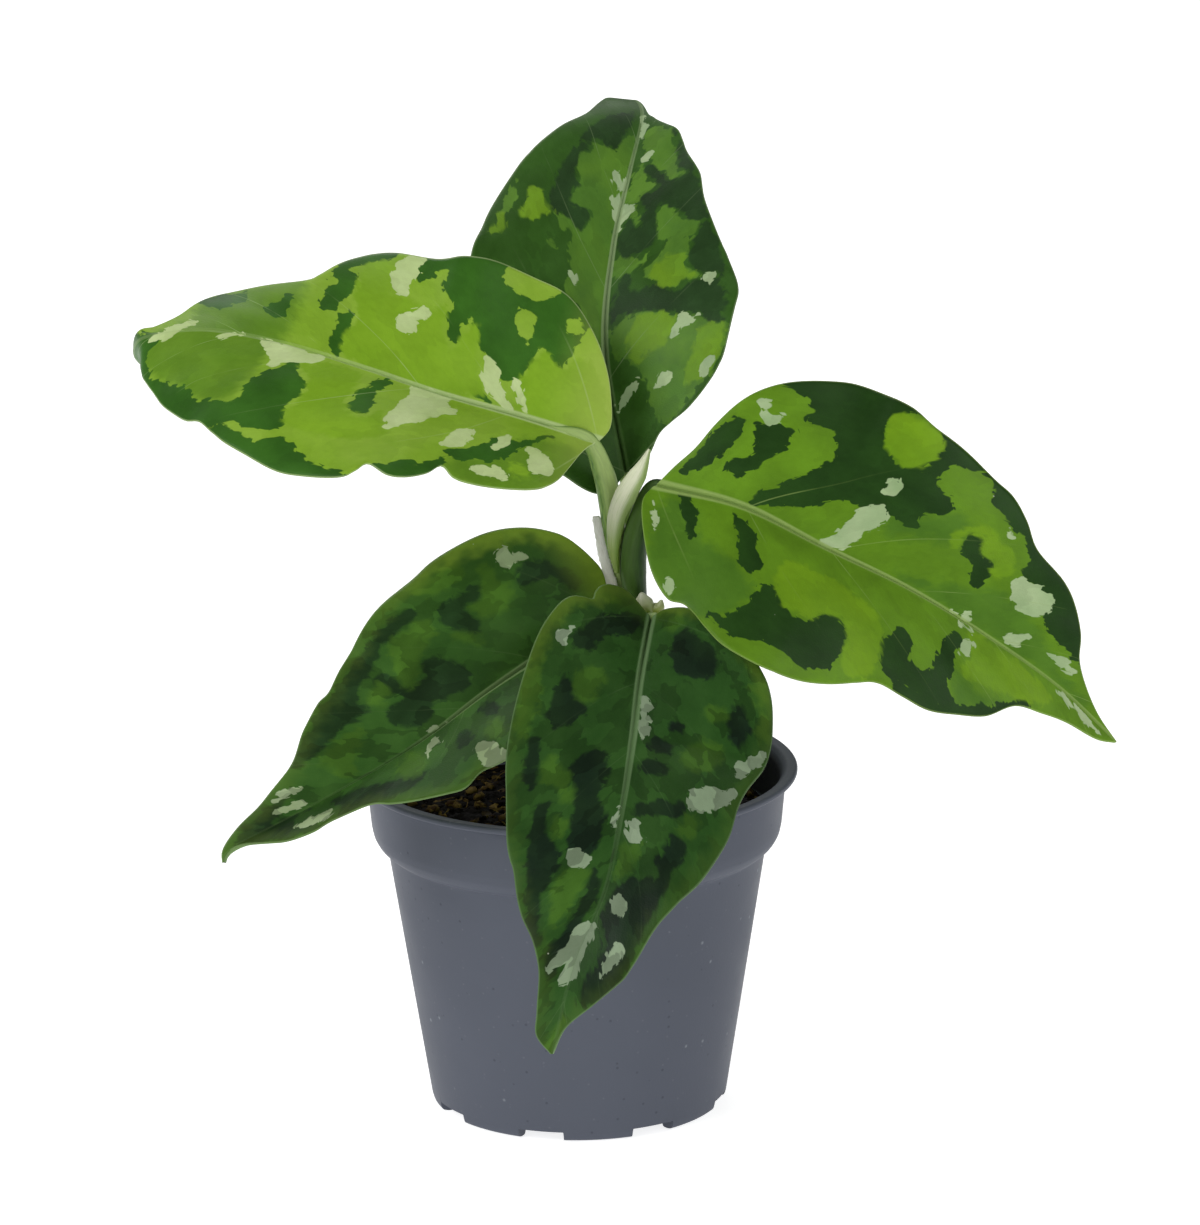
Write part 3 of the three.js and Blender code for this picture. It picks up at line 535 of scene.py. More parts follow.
# %% Thickness, midrib and keel
BLADE_THICKNESS = 0.5
MARGIN_THICKNESS = 0.14
GROOVE_DEPTH, GROOVE_WIDTH = 0.2, 0.28
RIDGE_HEIGHT, RIDGE_PLACE, RIDGE_WIDTH = 0.1, 0.55, 0.22
KEEL_DEPTH, KEEL_WIDTH = 0.95, 0.75
KEEL_START = (0.5, 4)  # mm along, between which the keel comes up
RIB_WIDTHS = (0.2, 0.4, 0.45)  # half the rib's width in mm: at least, by strength, at the base
RIB_FLARE = 12  # mm along, over which the widening at the base fades
GRAIN_LEAN = 0.55  # share by which the grain runs along, and not with the veins
HALVES_APART = 9  # mm, so that the grain of one half doesn't mirror the other


def leaf_shape(leaf):
    """Both faces of a blade. The top is the bent surface plus half the thickness along its own
    normal, which is the cross product of its two grid directions. A groove runs along the
    midrib between two low ridges, each a bell curve of the distance across. Below, a round keel
    of another bell curve carries the blade. It fades out towards the tip, as the real rib does."""
    (a, b, share, to_margin), length = flat_leaf(leaf)
    surface = bend_blade(leaf, a, b)
    normal = unit(np.cross(np.gradient(surface, axis=0), np.gradient(surface, axis=1)))
    full = MARGIN_THICKNESS + (BLADE_THICKNESS - MARGIN_THICKNESS) * np.sqrt(1 - share ** 6)
    strength = 1 - 0.8 * smooth(a, 0.1 * length, 0.95 * length)
    distance = np.abs(b)
    ridges = RIDGE_HEIGHT * np.exp(-((distance - RIDGE_PLACE * strength) / RIDGE_WIDTH) ** 2)
    groove = GROOVE_DEPTH * np.exp(-(distance / GROOVE_WIDTH) ** 2)
    keel = KEEL_DEPTH * strength * smooth(a, *KEEL_START) * np.exp(-(distance / KEEL_WIDTH) ** 2)
    top = surface + (full / 2 + (ridges - groove) * strength)[..., None] * normal
    bottom = surface - (full / 2 + keel)[..., None] * normal
    least, by_strength, at_base = RIB_WIDTHS
    flare = np.exp(-np.maximum(a, 0) / RIB_FLARE)
    rib_share = distance / (least + by_strength * strength + at_base * flare)
    vein = vein_start(a, distance)
    lean = GRAIN_LEAN * a + (1 - GRAIN_LEAN) * vein
    facts = {
        "blade": np.stack([a, b, to_margin], -1),
        "vein": np.stack([vein / VEIN_SPACING, rib_share, distance], -1),
        "grain": np.stack([lean, distance, np.sign(b) * HALVES_APART], -1),
    }
    return closed_sheet(top, bottom), a, b, facts


(sample, _), _, _, _ = leaf_shape(LEAVES["front"])
print("front leaf:", len(sample), "points", sample.min(0).round(1), "to", sample.max(0).round(1))

# %% [markdown]
# ## Leaf blotches
#
# The blotches are what sells this plant: sharp islands of dark green and of silver on light
# green, with edges that jump in small steps from one fine vein to the next. Noise alone never
# gives those few large islands, and a painted picture is not wanted. So each blotch is a rough
# outline on the flat leaf, in millimetres along and across. Every point of the blade gets its
# distance to the nearest blotch edge, and the shader turns that distance into a sharp edge and
# roughens it. Old leaves have the same blotches, but soft and faint.
#
# Each leaf has a ground colour, and over it come up to three greens, "mid", "dark" and "bright",
# and at last "silver". "holes" are cut out of the dark blotches again. Each outline is one row
# of numbers, the distance along and the distance across of every corner in turn.

# %% Blotches of the left leaf
BLOTCHES = {name: {} for name in LEAVES}
BLOTCHES["left"]["mid"] = [
    # The first outline covers the tip half: partly the leaf's own mid green, and partly painted
    # shade, as that half faces away from the light.
    [45.5, 1.5, 47, 8.2, 49, 11.4, 54, 10.8, 60, 8, 65, 3.5, 64, 0, 58, -2, 58, -7.5, 50, -10.5,
     45, -11.5, 44, -6, 44.5, -1],
    [9.5, 4, 12, 7, 15, 9.5, 20, 12, 21.5, 14.5, 17, 16, 10, 15.5, 4, 10, 3, 4],
]
BLOTCHES["left"]["bright"] = [
    [29.5, 12.2, 34, 13.4, 40.5, 13.2, 40.6, 11, 39.4, 8, 39.4, 5.3, 41, 2.6, 34.8, 1, 33.2, 2, 34,
     6, 33.6, 8.4, 31, 9.2, 29.6, 7, 28.6, 10.2],
    [1, -1.5, 11, -0.8, 12.5, -5, 11, -9.2, 9.8, -9.6, 7.5, -7.8, 5.8, -10, 3, -9, 0.5, -5],
    [18, -1, 35.8, -0.8, 36, -7, 37.2, -9.8, 37.6, -14.4, 36.5, -17, 34, -17.4, 33, -12.4, 30.5,
     -11.8, 26.5, -11, 25, -12, 24.6, -9, 22.5, -6.5, 20, -10.8, 19, -7, 18, -4],
    [9.2, 12.2, 12, 12.4, 12.3, 10.4, 10.2, 10.2],
]
BLOTCHES["left"]["dark"] = [
    [40.3, 13.7, 42.8, 14.6, 45.9, 14.5, 49.3, 14.8, 52, 17, 60, 14, 66, 8, 64.6, 3.4, 62.8, 5.9,
     60.3, 7.6, 57, 8.4, 54.3, 9.8, 53.7, 11, 49, 11.2, 47.3, 10, 46.8, 7.9, 45.8, 5.9, 43.7, 4,
     41.5, 2.4, 41, 4.9, 39.9, 5.3, 39.6, 7.3, 41.3, 10.3, 40.4, 12.1],
    [31, 21, 31, 19.5, 35, 18.3, 37, 17.2, 38.5, 15.7, 40.3, 15.1, 43, 16.3, 46, 15.9, 49, 15, 50,
     18, 40, 22],
    [20.5, 13, 22.8, 16.5, 25.5, 19, 29.5, 18.5, 29, 16.8, 27, 16.3, 25, 15.2, 23.5, 15, 22.2,
     13.6, 21.2, 12.4],
    [14.6, 10.6, 16.5, 11.2, 20.3, 12.1, 20.6, 10.6, 18.4, 9.9, 17, 8.4, 15.6, 7, 14.6, 5.9, 11.5,
     5.9, 9.9, 4.6, 8.4, 3.1, 6.5, 2.3, 8.4, 4, 10.3, 6.5, 12, 8.4],
    [30.9, 8.1, 32.3, 8.7, 33.8, 7.9, 33.4, 5.9, 32, 3.4, 30.6, 1, 29, 1.4, 30.3, 3.7, 30.6, 5.9],
    [62.5, 6, 63.5, 3.5, 62, 0.5, 63, -0.3, 66, -1.2, 72, -4, 78, 0, 72, 4, 66, 8],
    [7.2, -8.3, 9, -8.2, 10.8, -10, 11.2, -7, 12.3, -5, 14.5, -4.2, 16, -5.4, 18, -7, 19.8, -9.5,
     20.8, -11, 21.9, -10, 22, -7, 23.6, -7.8, 24.5, -10.5, 24.4, -12.5, 26.4, -15, 26, -16.8,
     27.3, -16.6, 28.3, -15.2, 29.6, -14.9, 29.6, -17, 28.8, -19.5, 20, -21.5, 10, -20, 5.5, -15.5,
     6.8, -11],
    [15.3, -0.6, 17.5, -0.9, 18.7, -1.6, 18.2, -2.2, 16.3, -1.6],
    [36.6, -0.6, 38.3, -1, 38.7, -3.5, 38.3, -6.6, 37.4, -8, 36.2, -7.9, 36.6, -5.4, 36.5, -2.9],
    [41.2, -6.6, 41.3, -9.8, 40.6, -12.3, 41.8, -12.9, 39, -18, 33.2, -20, 33.4, -18.5, 34.6,
     -17.3, 37.1, -16.6, 39.3, -14.8, 37.8, -14.4, 38.1, -11, 39.3, -7.9],
    [45, -4.5, 47, -4.2, 48.5, -4.6, 48, -6.5, 46.8, -7.3, 46.2, -8.7, 45.3, -8.3, 45.6, -6.3],
    [51.5, -6.5, 53, -5.5, 55, -4.5, 57.5, -5.8, 58, -7.2, 55, -8.2, 52, -8.4],
]
BLOTCHES["left"]["holes"] = [
    [12.3, -10.1, 13.4, -10.3, 14.6, -12.9, 14, -14.6, 12.3, -13.5],
    [6.5, -13, 8.3, -13, 8.3, -15, 6.5, -15.2],
    [11.5, -16.8, 13.5, -16.4, 17.2, -17.8, 16.8, -20, 12, -20.5, 9.8, -18.5],
]
BLOTCHES["left"]["silver"] = [
    [19.9, 2.8, 22.1, 4.6, 25.3, 7.8, 28.3, 10.1, 28.5, 7.6, 27.8, 5.3, 26.5, 2.1, 25.6, 0, 20.9,
     0, 21.5, 1.5],
    [17.4, 5.3, 18.1, 8.4, 19.6, 9.9, 21.4, 10.1, 20.9, 8.1, 19.6, 6.5],
    [12.1, 5.1, 12.8, 6.8, 14.1, 8.3, 14.9, 8.4, 14.3, 6.5, 13.1, 4.9],
    [6.2, 9.9, 6.8, 11, 9.3, 10.9, 9.6, 8.4, 10.1, 6.5, 9, 5.9, 7.9, 6.8, 6.8, 7.8],
    [12.3, 13.3, 14.6, 13.7, 17.1, 13.3, 17.3, 12.4, 15.6, 11.7, 13.4, 12.1],
    [38.9, 0.9, 40.9, 2.4, 43.4, 3.4, 44.9, 4.1, 45.6, 2.4, 47.1, 0.9, 47.4, 0, 39.6, 0.3],
    [49.8, 0.2, 51.5, 0.6, 53, 1.2, 52.4, 0.3, 50, -0.1],
    [56.7, -1.8, 57.8, -0.7, 59.6, 0.6, 61.8, 1.4, 63.3, 0.6, 61.2, -0.7, 59, -1.8],
    [10.5, -1.1, 11.5, -1.5, 13, -3.5, 13.2, -4.8, 12.2, -4.4, 11.3, -3],
    [11.8, -0.5, 14, -0.8, 15.5, -1.5, 17.3, -3.5, 17.6, -6.4, 16.4, -6.2, 15.2, -4.5, 14.2, -2.6],
    [28.2, -6.8, 29.5, -6.3, 30.9, -7.3, 30.7, -8.5, 29.6, -9.8, 28, -10.9, 26.8, -10.2, 27.2, -9,
     28, -8.6],
    [30.5, -12.2, 32.6, -12.5, 33.5, -14, 33.2, -17, 32, -18.6, 29.6, -18.4, 29.9, -15.5, 30.4,
     -14.3],
]

# %% Blotches of the right leaf
BLOTCHES["right"]["mid"] = [
    [2, -2, 6, -2.6, 8, -7, 11, -8, 17, -11, 18, -14, 15, -18, 8, -18, 2, -12],
    [34.5, 0.6, 40, 2.6, 46, 5.6, 49, 6.2, 56, 4.2, 60, 2, 66, 0.4, 50, 0.2],
    [47, -7.2, 52, -8.2, 56, -7, 52, -10.5, 49, -12],
    [30, 8, 34, 9.8, 37, 11.8, 40, 12.2, 40, 9, 36, 7, 31, 5, 30.4, 6],
]
BLOTCHES["right"]["bright"] = [
    [25, 20.2, 29, 21.4, 32.4, 20.2, 32.8, 18, 31.4, 15.2, 29.2, 14.4, 26, 16, 25, 17.8],
    [38.5, 9, 41, 12.5, 44, 12.4, 46.8, 11.6, 48, 9.2, 47, 7.6, 45.6, 7.4, 45.2, 9, 43, 9.2, 42.6,
     11, 40.4, 10.8, 39.8, 8],
    [47, -1, 56, -0.8, 61, -2.4, 59, -4.8, 52, -7, 48, -7, 48.6, -4],
    [20, -6, 25, -4.5, 34, -6.5, 36.8, -12.8, 35.5, -16, 32, -16.4, 31, -11.2, 28.6, -9.6, 24.8,
     -12.6, 21, -11],
]
BLOTCHES["right"]["dark"] = [
    [12.4, 0.7, 15, 1.2, 17.1, 2.4, 19.6, 4, 22.8, 6.5, 25.9, 7, 28.3, 7.6, 34, 7.7, 34.2, 9.8,
     36.6, 11.1, 36.9, 13.3, 34.4, 13.8, 34, 15, 35, 17.8, 37.2, 18, 40, 18.7, 41.3, 15.9, 43.5,
     14.8, 45, 14.6, 47.6, 13.2, 48.8, 11.6, 48.3, 10, 49.4, 9.4, 52.2, 9.6, 54.5, 9, 54.4, 6.4,
     55.7, 5.2, 59.3, 4.6, 61.6, 4, 64, 6, 58, 13, 45, 20, 30, 24, 20, 24, 10, 20, 9.5, 17.5, 11.8,
     17.2, 13.8, 17.2, 15.1, 15.8, 15, 14, 18.6, 14.2, 19.7, 11.2, 18.2, 8.7, 16, 6, 14.3, 3.4],
    [10.3, 10.9, 12.8, 12.1, 14.5, 12.1, 13.7, 8.4, 12.1, 5.9, 10.4, 3.4, 8.7, 3.7, 9, 5.3, 10.9,
     7.1],
    [6.2, 9, 8.4, 11.5, 9.5, 11, 9, 8.4, 7.4, 5.3, 5.3, 3.4, 3, 2.5, 4.5, 5],
    [40.3, 10.3, 41.2, 10.9, 42.8, 10.6, 42.9, 9, 44.9, 8.7, 45.4, 6.8, 44.6, 4.1, 43.1, 5.3, 42.4,
     7.1, 40.6, 7.8],
    [11.3, -1.9, 14, -2.6, 15.6, -4.1, 16.8, -6, 17.8, -8.2, 16.5, -10.1, 14.9, -9.4, 13.9, -7.6,
     12.8, -4.8],
    [3.5, -0.8, 5.2, -1.2, 6.8, -3.6, 7.1, -6.8, 6.4, -7.2, 5.2, -4.8, 4.2, -2.5],
    [19, -11, 20.3, -10.3, 22.1, -11.9, 24, -12.9, 25.9, -12.6, 26.8, -10.7, 28.4, -9.8, 31.2, -11,
     31.5, -13.5, 30.9, -16.6, 29, -18.5, 26.5, -19.1, 23.4, -18.5, 21.5, -19.1, 19, -19.8, 15.3,
     -19.1, 13.4, -17.9, 15.9, -17.3, 18.1, -14.8],
    [37.1, -6.9, 38.7, -6.6, 40.3, -7.9, 40.9, -10.1, 43.4, -10.4, 44, -8.5, 44, -4.8, 44.6, -2.9,
     46.4, -2.9, 46.2, -5.4, 47.1, -7.9, 47.1, -9.8, 49, -11, 48.4, -12.9, 45.9, -14.1, 41.5,
     -14.1, 37.8, -13.5, 35.6, -10.1, 36.5, -8.5],
    [40, -13.6, 46, -13.2, 50, -11.2, 54, -8.6, 58, -4.6, 59, -6, 56, -10, 50, -14, 42, -16],
]
BLOTCHES["right"]["holes"] = [
    [25.1, 20.3, 29, 21.4, 31.5, 20.9, 32.6, 19.3, 32.1, 16.8, 29.6, 14.3, 27.8, 14.9, 25.9, 16.5,
     24.9, 17.8],
]
BLOTCHES["right"]["silver"] = [
    [25.9, 5.6, 26.2, 7, 29.3, 8.3, 30.3, 7.4, 29.6, 5.3, 28.1, 4, 27.8, 2.4, 25.9, 0.7, 23.4, 0.3,
     24.6, 2.8],
    [28.1, 11.4, 28.6, 12.4, 30.1, 12.6, 30, 10.8, 29, 10.2, 28, 10.3],
    [48.9, 9.2, 50.5, 9.4, 52.2, 9.6, 54.5, 9.1, 54.3, 6.4, 51.9, 4.9, 50.5, 5.3, 48.9, 7],
    [51.4, 1.2, 52.5, 2.4, 54.2, 3.2, 54, 1.8, 52.6, 0.9],
    [57.6, 2.8, 59, 3.4, 60.3, 4, 61, 3, 62.2, 2.6, 60.6, 2.1, 58.5, 2.2],
    [43.5, 0.4, 44.6, 0.8, 45.6, 1.5, 46.2, 0.3],
    [9.7, 14.4, 11.2, 14.6, 11.4, 13.2, 12.5, 13.6, 12.4, 12, 11.5, 11.6, 10.6, 12.6],
    [44.4, 14.3, 45.4, 14.1, 45.6, 13.4, 44.7, 13.3],
    [46.4, -2.6, 47.8, -2.2, 48.2, -3.5, 47.6, -4.8, 46.5, -4.4],
    [0.3, -2.8, 1.2, -3.6, 1.9, -5.5, 1.8, -7.3, 1.2, -6.6, 0.7, -4.6],
    [4.8, -14.2, 6, -14, 6.9, -15.2, 6.2, -16.4, 5.2, -15.6],
    [44.5, -0.3, 48, -0.6, 47, -1.2, 45.3, -1],
    [61.7, -0.3, 65, -0.6, 70, -0.8, 69, -1.3, 65, -1.3, 62, -1],
]

# %% Blotches of the back leaf
BLOTCHES["back"]["mid"] = [
    [17, 0.2, 20, 3, 22.5, 4, 24.5, 6, 27, 5.4, 30, 6, 32.2, 6.2, 33.2, 7.3, 34.5, 8.2, 34.7, 9.2,
     35.6, 8.9, 35.3, 7.2, 34.2, 5.8, 33.3, 4.6, 35, 3.9, 36.6, 4, 36.6, 6, 37.5, 7.6, 39, 6.8, 41,
     6.4, 43, 7.2, 46.2, 7.2, 46.6, 5.8, 48.8, 5.6, 48.4, 4, 47.6, 2.6, 49.9, 2.1, 49.9, 0.3, 30,
     0.2],
    [33.5, 16, 36.5, 15.8, 39.6, 15, 39.3, 14.2, 36, 14.4, 34, 15.2],
    [29.8, 8, 30.8, 8.8, 31, 8.4, 30, 7.9],
    [13.5, -4.5, 15, -3, 15.5, -1.5, 18.5, -0.8, 20.5, -2, 21.5, -4, 22, -6, 21.8, -7.5, 21.2, -10,
     20.8, -12, 20.5, -14, 19, -15.5, 19, -17.5, 15, -17.2, 11, -15, 8, -11, 5, -8, 6, -6.5, 8,
     -5.8, 11, -5.5],
    [26, -8, 27, -5.6, 28.3, -5, 29.5, -6.3, 32, -7.3, 34, -6, 36, -5.5, 37.5, -5.3, 39, -6.5, 38,
     -8.2, 36.8, -9.2, 36.6, -11.5, 33.3, -11.3, 33.2, -10, 31.5, -10.8, 29.3, -10.5, 28, -13,
     27.2, -12.2, 26.8, -10.5, 25.4, -9.9],
    [27.2, -0.7, 30.5, -0.8, 30.7, -2.6, 29.5, -4, 31, -5, 30, -5.3, 28.4, -4.2, 27.3, -2.5],
    [35, -2.5, 36.8, -2, 38.8, -0.6, 43, -0.6, 46.3, -1.5, 45, -2.2, 43.2, -2.8, 42.6, -4.2, 41.5,
     -3.8, 40.8, -2.6, 38.8, -2.2, 37.3, -2.8, 36, -3.3],
    [46, -3, 47.5, -2.8, 49, -1.5, 51, -0.7, 53, -1.5, 53, -4, 51.5, -4.8, 48, -6, 45.2, -6.5, 45,
     -8, 43.3, -6, 45, -5, 44.8, -3.8],
]
BLOTCHES["back"]["dark"] = [
    [20.5, -0.9, 24, -1.2, 27.4, -1.9, 27.6, -3.3, 25.2, -3.6, 25.7, -5.6, 26, -7, 25.5, -8.8,
     25.3, -10.4, 27, -12.6, 26.8, -15.4, 24, -16.8, 19.6, -16.6, 19, -15.4, 20.4, -13.8, 21.4,
     -13, 21.5, -10, 22, -6, 21.8, -3],
    [30.8, -0.9, 34.4, -0.9, 36.2, -2, 35, -2.9, 37.5, -3.6, 40, -2.8, 41.8, -4.4, 43, -4.4, 44.2,
     -2.9, 46, -2.2, 45.4, -4, 43.4, -5.6, 43.4, -7, 44.8, -8.2, 46.4, -6.8, 50, -6, 52.6, -4.8,
     49, -7.3, 45, -9.3, 41, -11, 37, -12.4, 36.8, -9.6, 38, -8.4, 39.2, -6.2, 37.5, -5.2, 33.8,
     -5.8, 31.6, -5, 30.4, -3],
    [28, -12.8, 29.6, -10.8, 31.6, -11, 33.3, -11.2, 36.6, -11.8, 36, -13, 33, -14.5, 28.6, -16.2,
     28.2, -14.8],
    [35.3, 9.2, 38, 9.8, 42, 9.4, 46, 8.4, 48.4, 6.8, 47, 6, 46.2, 7.3, 43, 7.4, 40.6, 6.5, 38.8,
     7.2, 37.2, 7.2, 36.6, 5.6, 36.4, 4.1, 34, 4.4, 33.7, 5.4, 34.9, 6.8],
    [48, 8, 50.6, 7.4, 53.4, 5.4, 55.6, 3.4, 56, 1.4, 52.6, 1.2, 50, 2.2, 48.2, 3, 49, 5.5],
]
BLOTCHES["back"]["bright"] = [
    [33.8, 11, 33.9, 13, 35, 13.3, 36.5, 12.9, 38.8, 12.9, 38.3, 11, 36.5, 10, 35.3, 9, 34.6, 9,
     34.5, 10.5],
    [30, 17, 31.2, 17, 32, 16.2, 33.5, 16.2, 34, 15.6, 33, 15.3, 31, 15.2, 30.8, 16],
    [14, -4.6, 17, -3.2, 21, -4.4, 21.6, -7, 20.8, -10, 17, -9, 15.5, -6.5],
    [26, -7.6, 27.4, -5.8, 29.4, -7, 31, -8.4, 30.6, -10.4, 28.8, -10.4, 27.8, -12.4, 26.6, -10.4,
     25.6, -9.6],
    [10, -11, 14, -12, 19, -14, 18.6, -17, 14, -16.4, 11, -14.4],
]
BLOTCHES["back"]["silver"] = [
    [25, 4.3, 25.3, 5.3, 26.6, 5.6, 26.5, 4.9],
    [36, 0.3, 36.2, 0.9, 38.8, 1.6, 41, 1.2, 43, 2, 44.3, 2.2, 44, 0.8, 40, 0.3],
    [34.2, -0.2, 36.4, -1.2, 38.2, -2, 38.8, -1.5, 38.8, -0.2],
    [51, -0.4, 53.5, 0.2, 55, 0.4, 55, -0.5, 52, -0.8],
    [46.5, -1.2, 47.5, -1.2, 48.7, -2, 48, -2.8, 46.7, -2.2],
    [17.3, -9.7, 19, -9.5, 19.3, -10.2, 21.4, -10.3, 21.3, -11.5, 20.5, -11.8, 21, -13.3, 19.8,
     -12.6, 18.8, -11.2, 17.8, -10.9],
    [26.7, -13.2, 27.8, -13.3, 28, -15, 26.8, -14.6, 25.9, -14.5],
    [10.2, -6.5, 11.3, -7.2, 12, -8.2, 12, -9.4, 11.2, -9.2, 10.3, -7.8],
    [8, -1, 9, -0.9, 10.5, -2, 11.8, -3.5, 12.1, -4.6, 11.2, -4.4, 9.5, -2.8],
    [10.5, -13, 12.5, -13.8, 13.8, -15.3, 12.8, -15.4, 11, -14.5, 10.4, -13.6],
]

# %% Blotches of the low leaf
BLOTCHES["low"]["dark"] = [
    [0.8, -6, 2.5, -5.5, 3.5, -8, 6.5, -9, 8, -9, 8.3, -10.5, 6, -12, 4, -11, 2, -9],
    [16, -8.5, 17.5, -7.3, 19, -9.5, 20.3, -11.8, 18.5, -13.3, 15, -13.5, 12.3, -13, 13.5, -11, 16,
     -11.2],
    [21.5, -3.5, 24, -2, 27.5, -3, 30.5, -2, 33.5, -2.5, 35, -4.5, 34, -6, 31, -6.5, 33, -8.5,
     33.5, -10, 31.5, -10.8, 30, -9, 29.5, -7, 26.5, -6.8, 25.5, -9, 23.5, -8, 22, -6],
    [36, -7, 40, -7.5, 43.5, -6.3, 48, -5.8, 50, -6.2, 46, -9, 42, -11.3, 39, -12.5, 34, -14, 27,
     -15.5, 22, -15.5, 22.5, -13.8, 28, -13.5, 31, -12, 35, -10.8, 36.5, -9.5],
    [22.5, 2, 24.5, 2.5, 24, 5, 22, 4],
    [28, 3.5, 30.5, 4.5, 31, 6.5, 29, 6.5],
    [36, 6.5, 39.5, 5, 41.5, 4, 44, 2, 48, 1.5, 47, 4, 49, 6, 45.5, 6.2, 42, 8, 39, 8],
    [52, -3.2, 56, -2.4, 61, -1, 60, 1, 56, 3.8, 53, 5.2, 50.5, 5.6, 53.6, 2, 50.5, 0.5, 55.5,
     -0.4],
    [8, 4, 14, 5, 19, 9, 16, 13, 9, 12, 6, 8],
]
BLOTCHES["low"]["bright"] = [
    [9.8, -9, 12, -7.5, 14, -8, 15.5, -9.5, 15.8, -11, 14, -11, 12.3, -13, 11.5, -15, 10, -14,
     10.5, -12, 9.5, -10.5],
    [26, -8.5, 27.5, -7, 29.8, -6.9, 30, -8.5, 28.8, -10.5, 27.8, -12.8, 25, -13.4, 22, -13.4, 21,
     -11.5, 23, -9.8],
    [38.2, -5, 40.5, -4, 42.2, -2.3, 42.5, -0.8, 44.8, -1.5, 45.2, -3, 46.5, -5, 43.5, -6, 40,
     -6.5],
    [13, -15.5, 17, -15, 20, -16.5, 19.5, -18.2, 15, -18.5, 13, -17.5],
    [-3.5, -5.5, -1, -5, 0.3, -7, 0, -9.5, 1.5, -13, 3.5, -15.5, 1, -15.5, -2.5, -12, -3.5, -8],
    [34.8, 3.5, 36, 6, 38.8, 6, 38.8, 3, 37, 2, 35, 0.8],
    [24, 5.8, 27, 6.5, 28, 8, 26.5, 9.5, 24.5, 8],
    [16.5, -5.5, 19, -7, 20, -9, 18.5, -8.5, 17, -7],
    [32.2, -7.6, 34.5, -7.2, 35.6, -8.6, 34, -9.8, 32.3, -9.6],
    [2, 3, 7, 5, 6.5, 9, 4, 8],
]
BLOTCHES["low"]["silver"] = [
    [5.2, -12, 6.8, -12.6, 8.4, -12.2, 9, -13.8, 8.2, -15.6, 6.6, -15.4, 6.8, -14, 5.6, -13.2],
    [48, 3.8, 50, 4.8, 52, 4.6, 53.4, 3, 51, 2.8, 49, 3.2],
    [50.9, -0.6, 52.8, -1, 52.4, -1.8, 51, -1.5],
    [53.2, -1.2, 55, -1, 55, -1.9, 53.4, -1.8],
    [50.3, -2.6, 54.4, -2.8, 53, -3.5, 51, -3.2],
    [31, 1.6, 31.6, 2.8, 33.4, 3.2, 34.6, 4.4, 34, 2.4, 32.6, 1.4],
    [27.6, 10, 28.2, 13, 29.6, 13.5, 30.9, 12.2, 31, 9.8, 29.8, 7.8, 28, 8.6],
    [28.5, -0.2, 31.5, -0.8, 31, -0.2],
]

# %% Blotches of the front leaf
BLOTCHES["front"]["dark"] = [
    [4, 5.5, 6, 8, 9, 10.5, 12, 10.5, 13, 8, 12, 6, 10.5, 4.5, 7, 4],
    [16.5, 14, 18, 14.8, 21, 15, 22.5, 13.8, 21.5, 12.5, 19, 12.3, 17, 12.8],
    [20, 6.5, 21.3, 6.5, 21, 5, 20, 5],
    [22.5, 3, 24, 5.2, 25.2, 5, 24.8, 2.8, 23.5, 2],
    [26.5, 2.2, 27, 4.8, 28.8, 5, 29, 2.2, 28, 1.4],
    [33, 6.5, 34, 8.5, 35.5, 8, 35.5, 5, 36, 2, 34.5, 1.7, 33.8, 3.5, 33, 5],
    [38.5, 7, 39.5, 9, 41.5, 9.2, 44, 8, 47, 7.5, 50, 7.2, 54, 7, 58, 6.5, 61, 5, 63, 3, 61, 1.8,
     58, 2.5, 54, 2.8, 51.5, 1, 47, 1.2, 44.8, 3, 44.5, 6.5, 42.5, 5.5, 41, 6.5],
    [26, -3.5, 29, -2.6, 31.5, -2.8, 34, -3, 36.5, -2, 40, -2.3, 42.5, -3, 42.5, -6, 41, -6.5, 38,
     -6.2, 35.5, -6.5, 32, -7.5, 30, -8, 28.5, -6.5, 27, -5.5],
    [19, -7, 20.5, -6.5, 22, -8, 23.8, -9, 23.8, -11, 21, -11.8, 18, -11, 15, -10.2, 17, -8.8],
    # This outline is partly a dark blotch and partly painted shade at the base of the blade.
    [1, -1.5, 4, -2, 6, -4, 8, -6.5, 10.5, -7.5, 11, -9.5, 9.5, -10.5, 7.5, -9.5, 5, -8, 2.5, -5],
    [26, -12.5, 29, -11.8, 33, -11.6, 34.5, -12.5, 31, -13.5, 27, -13.5],
    [36, -9, 38, -9.5, 41, -9, 43.5, -7, 46, -6.8, 50, -7.3, 54, -6.5, 56.5, -5, 57.5, -6, 54,
     -8.5, 50, -10.2, 45, -11, 40, -11.2, 36.5, -10.8],
    [44.5, -2, 48, -2.5, 52, -2.5, 56, -3.5, 59, -4, 60, -2.5, 56, -1.8, 51.5, -1.2, 47, -1],
]
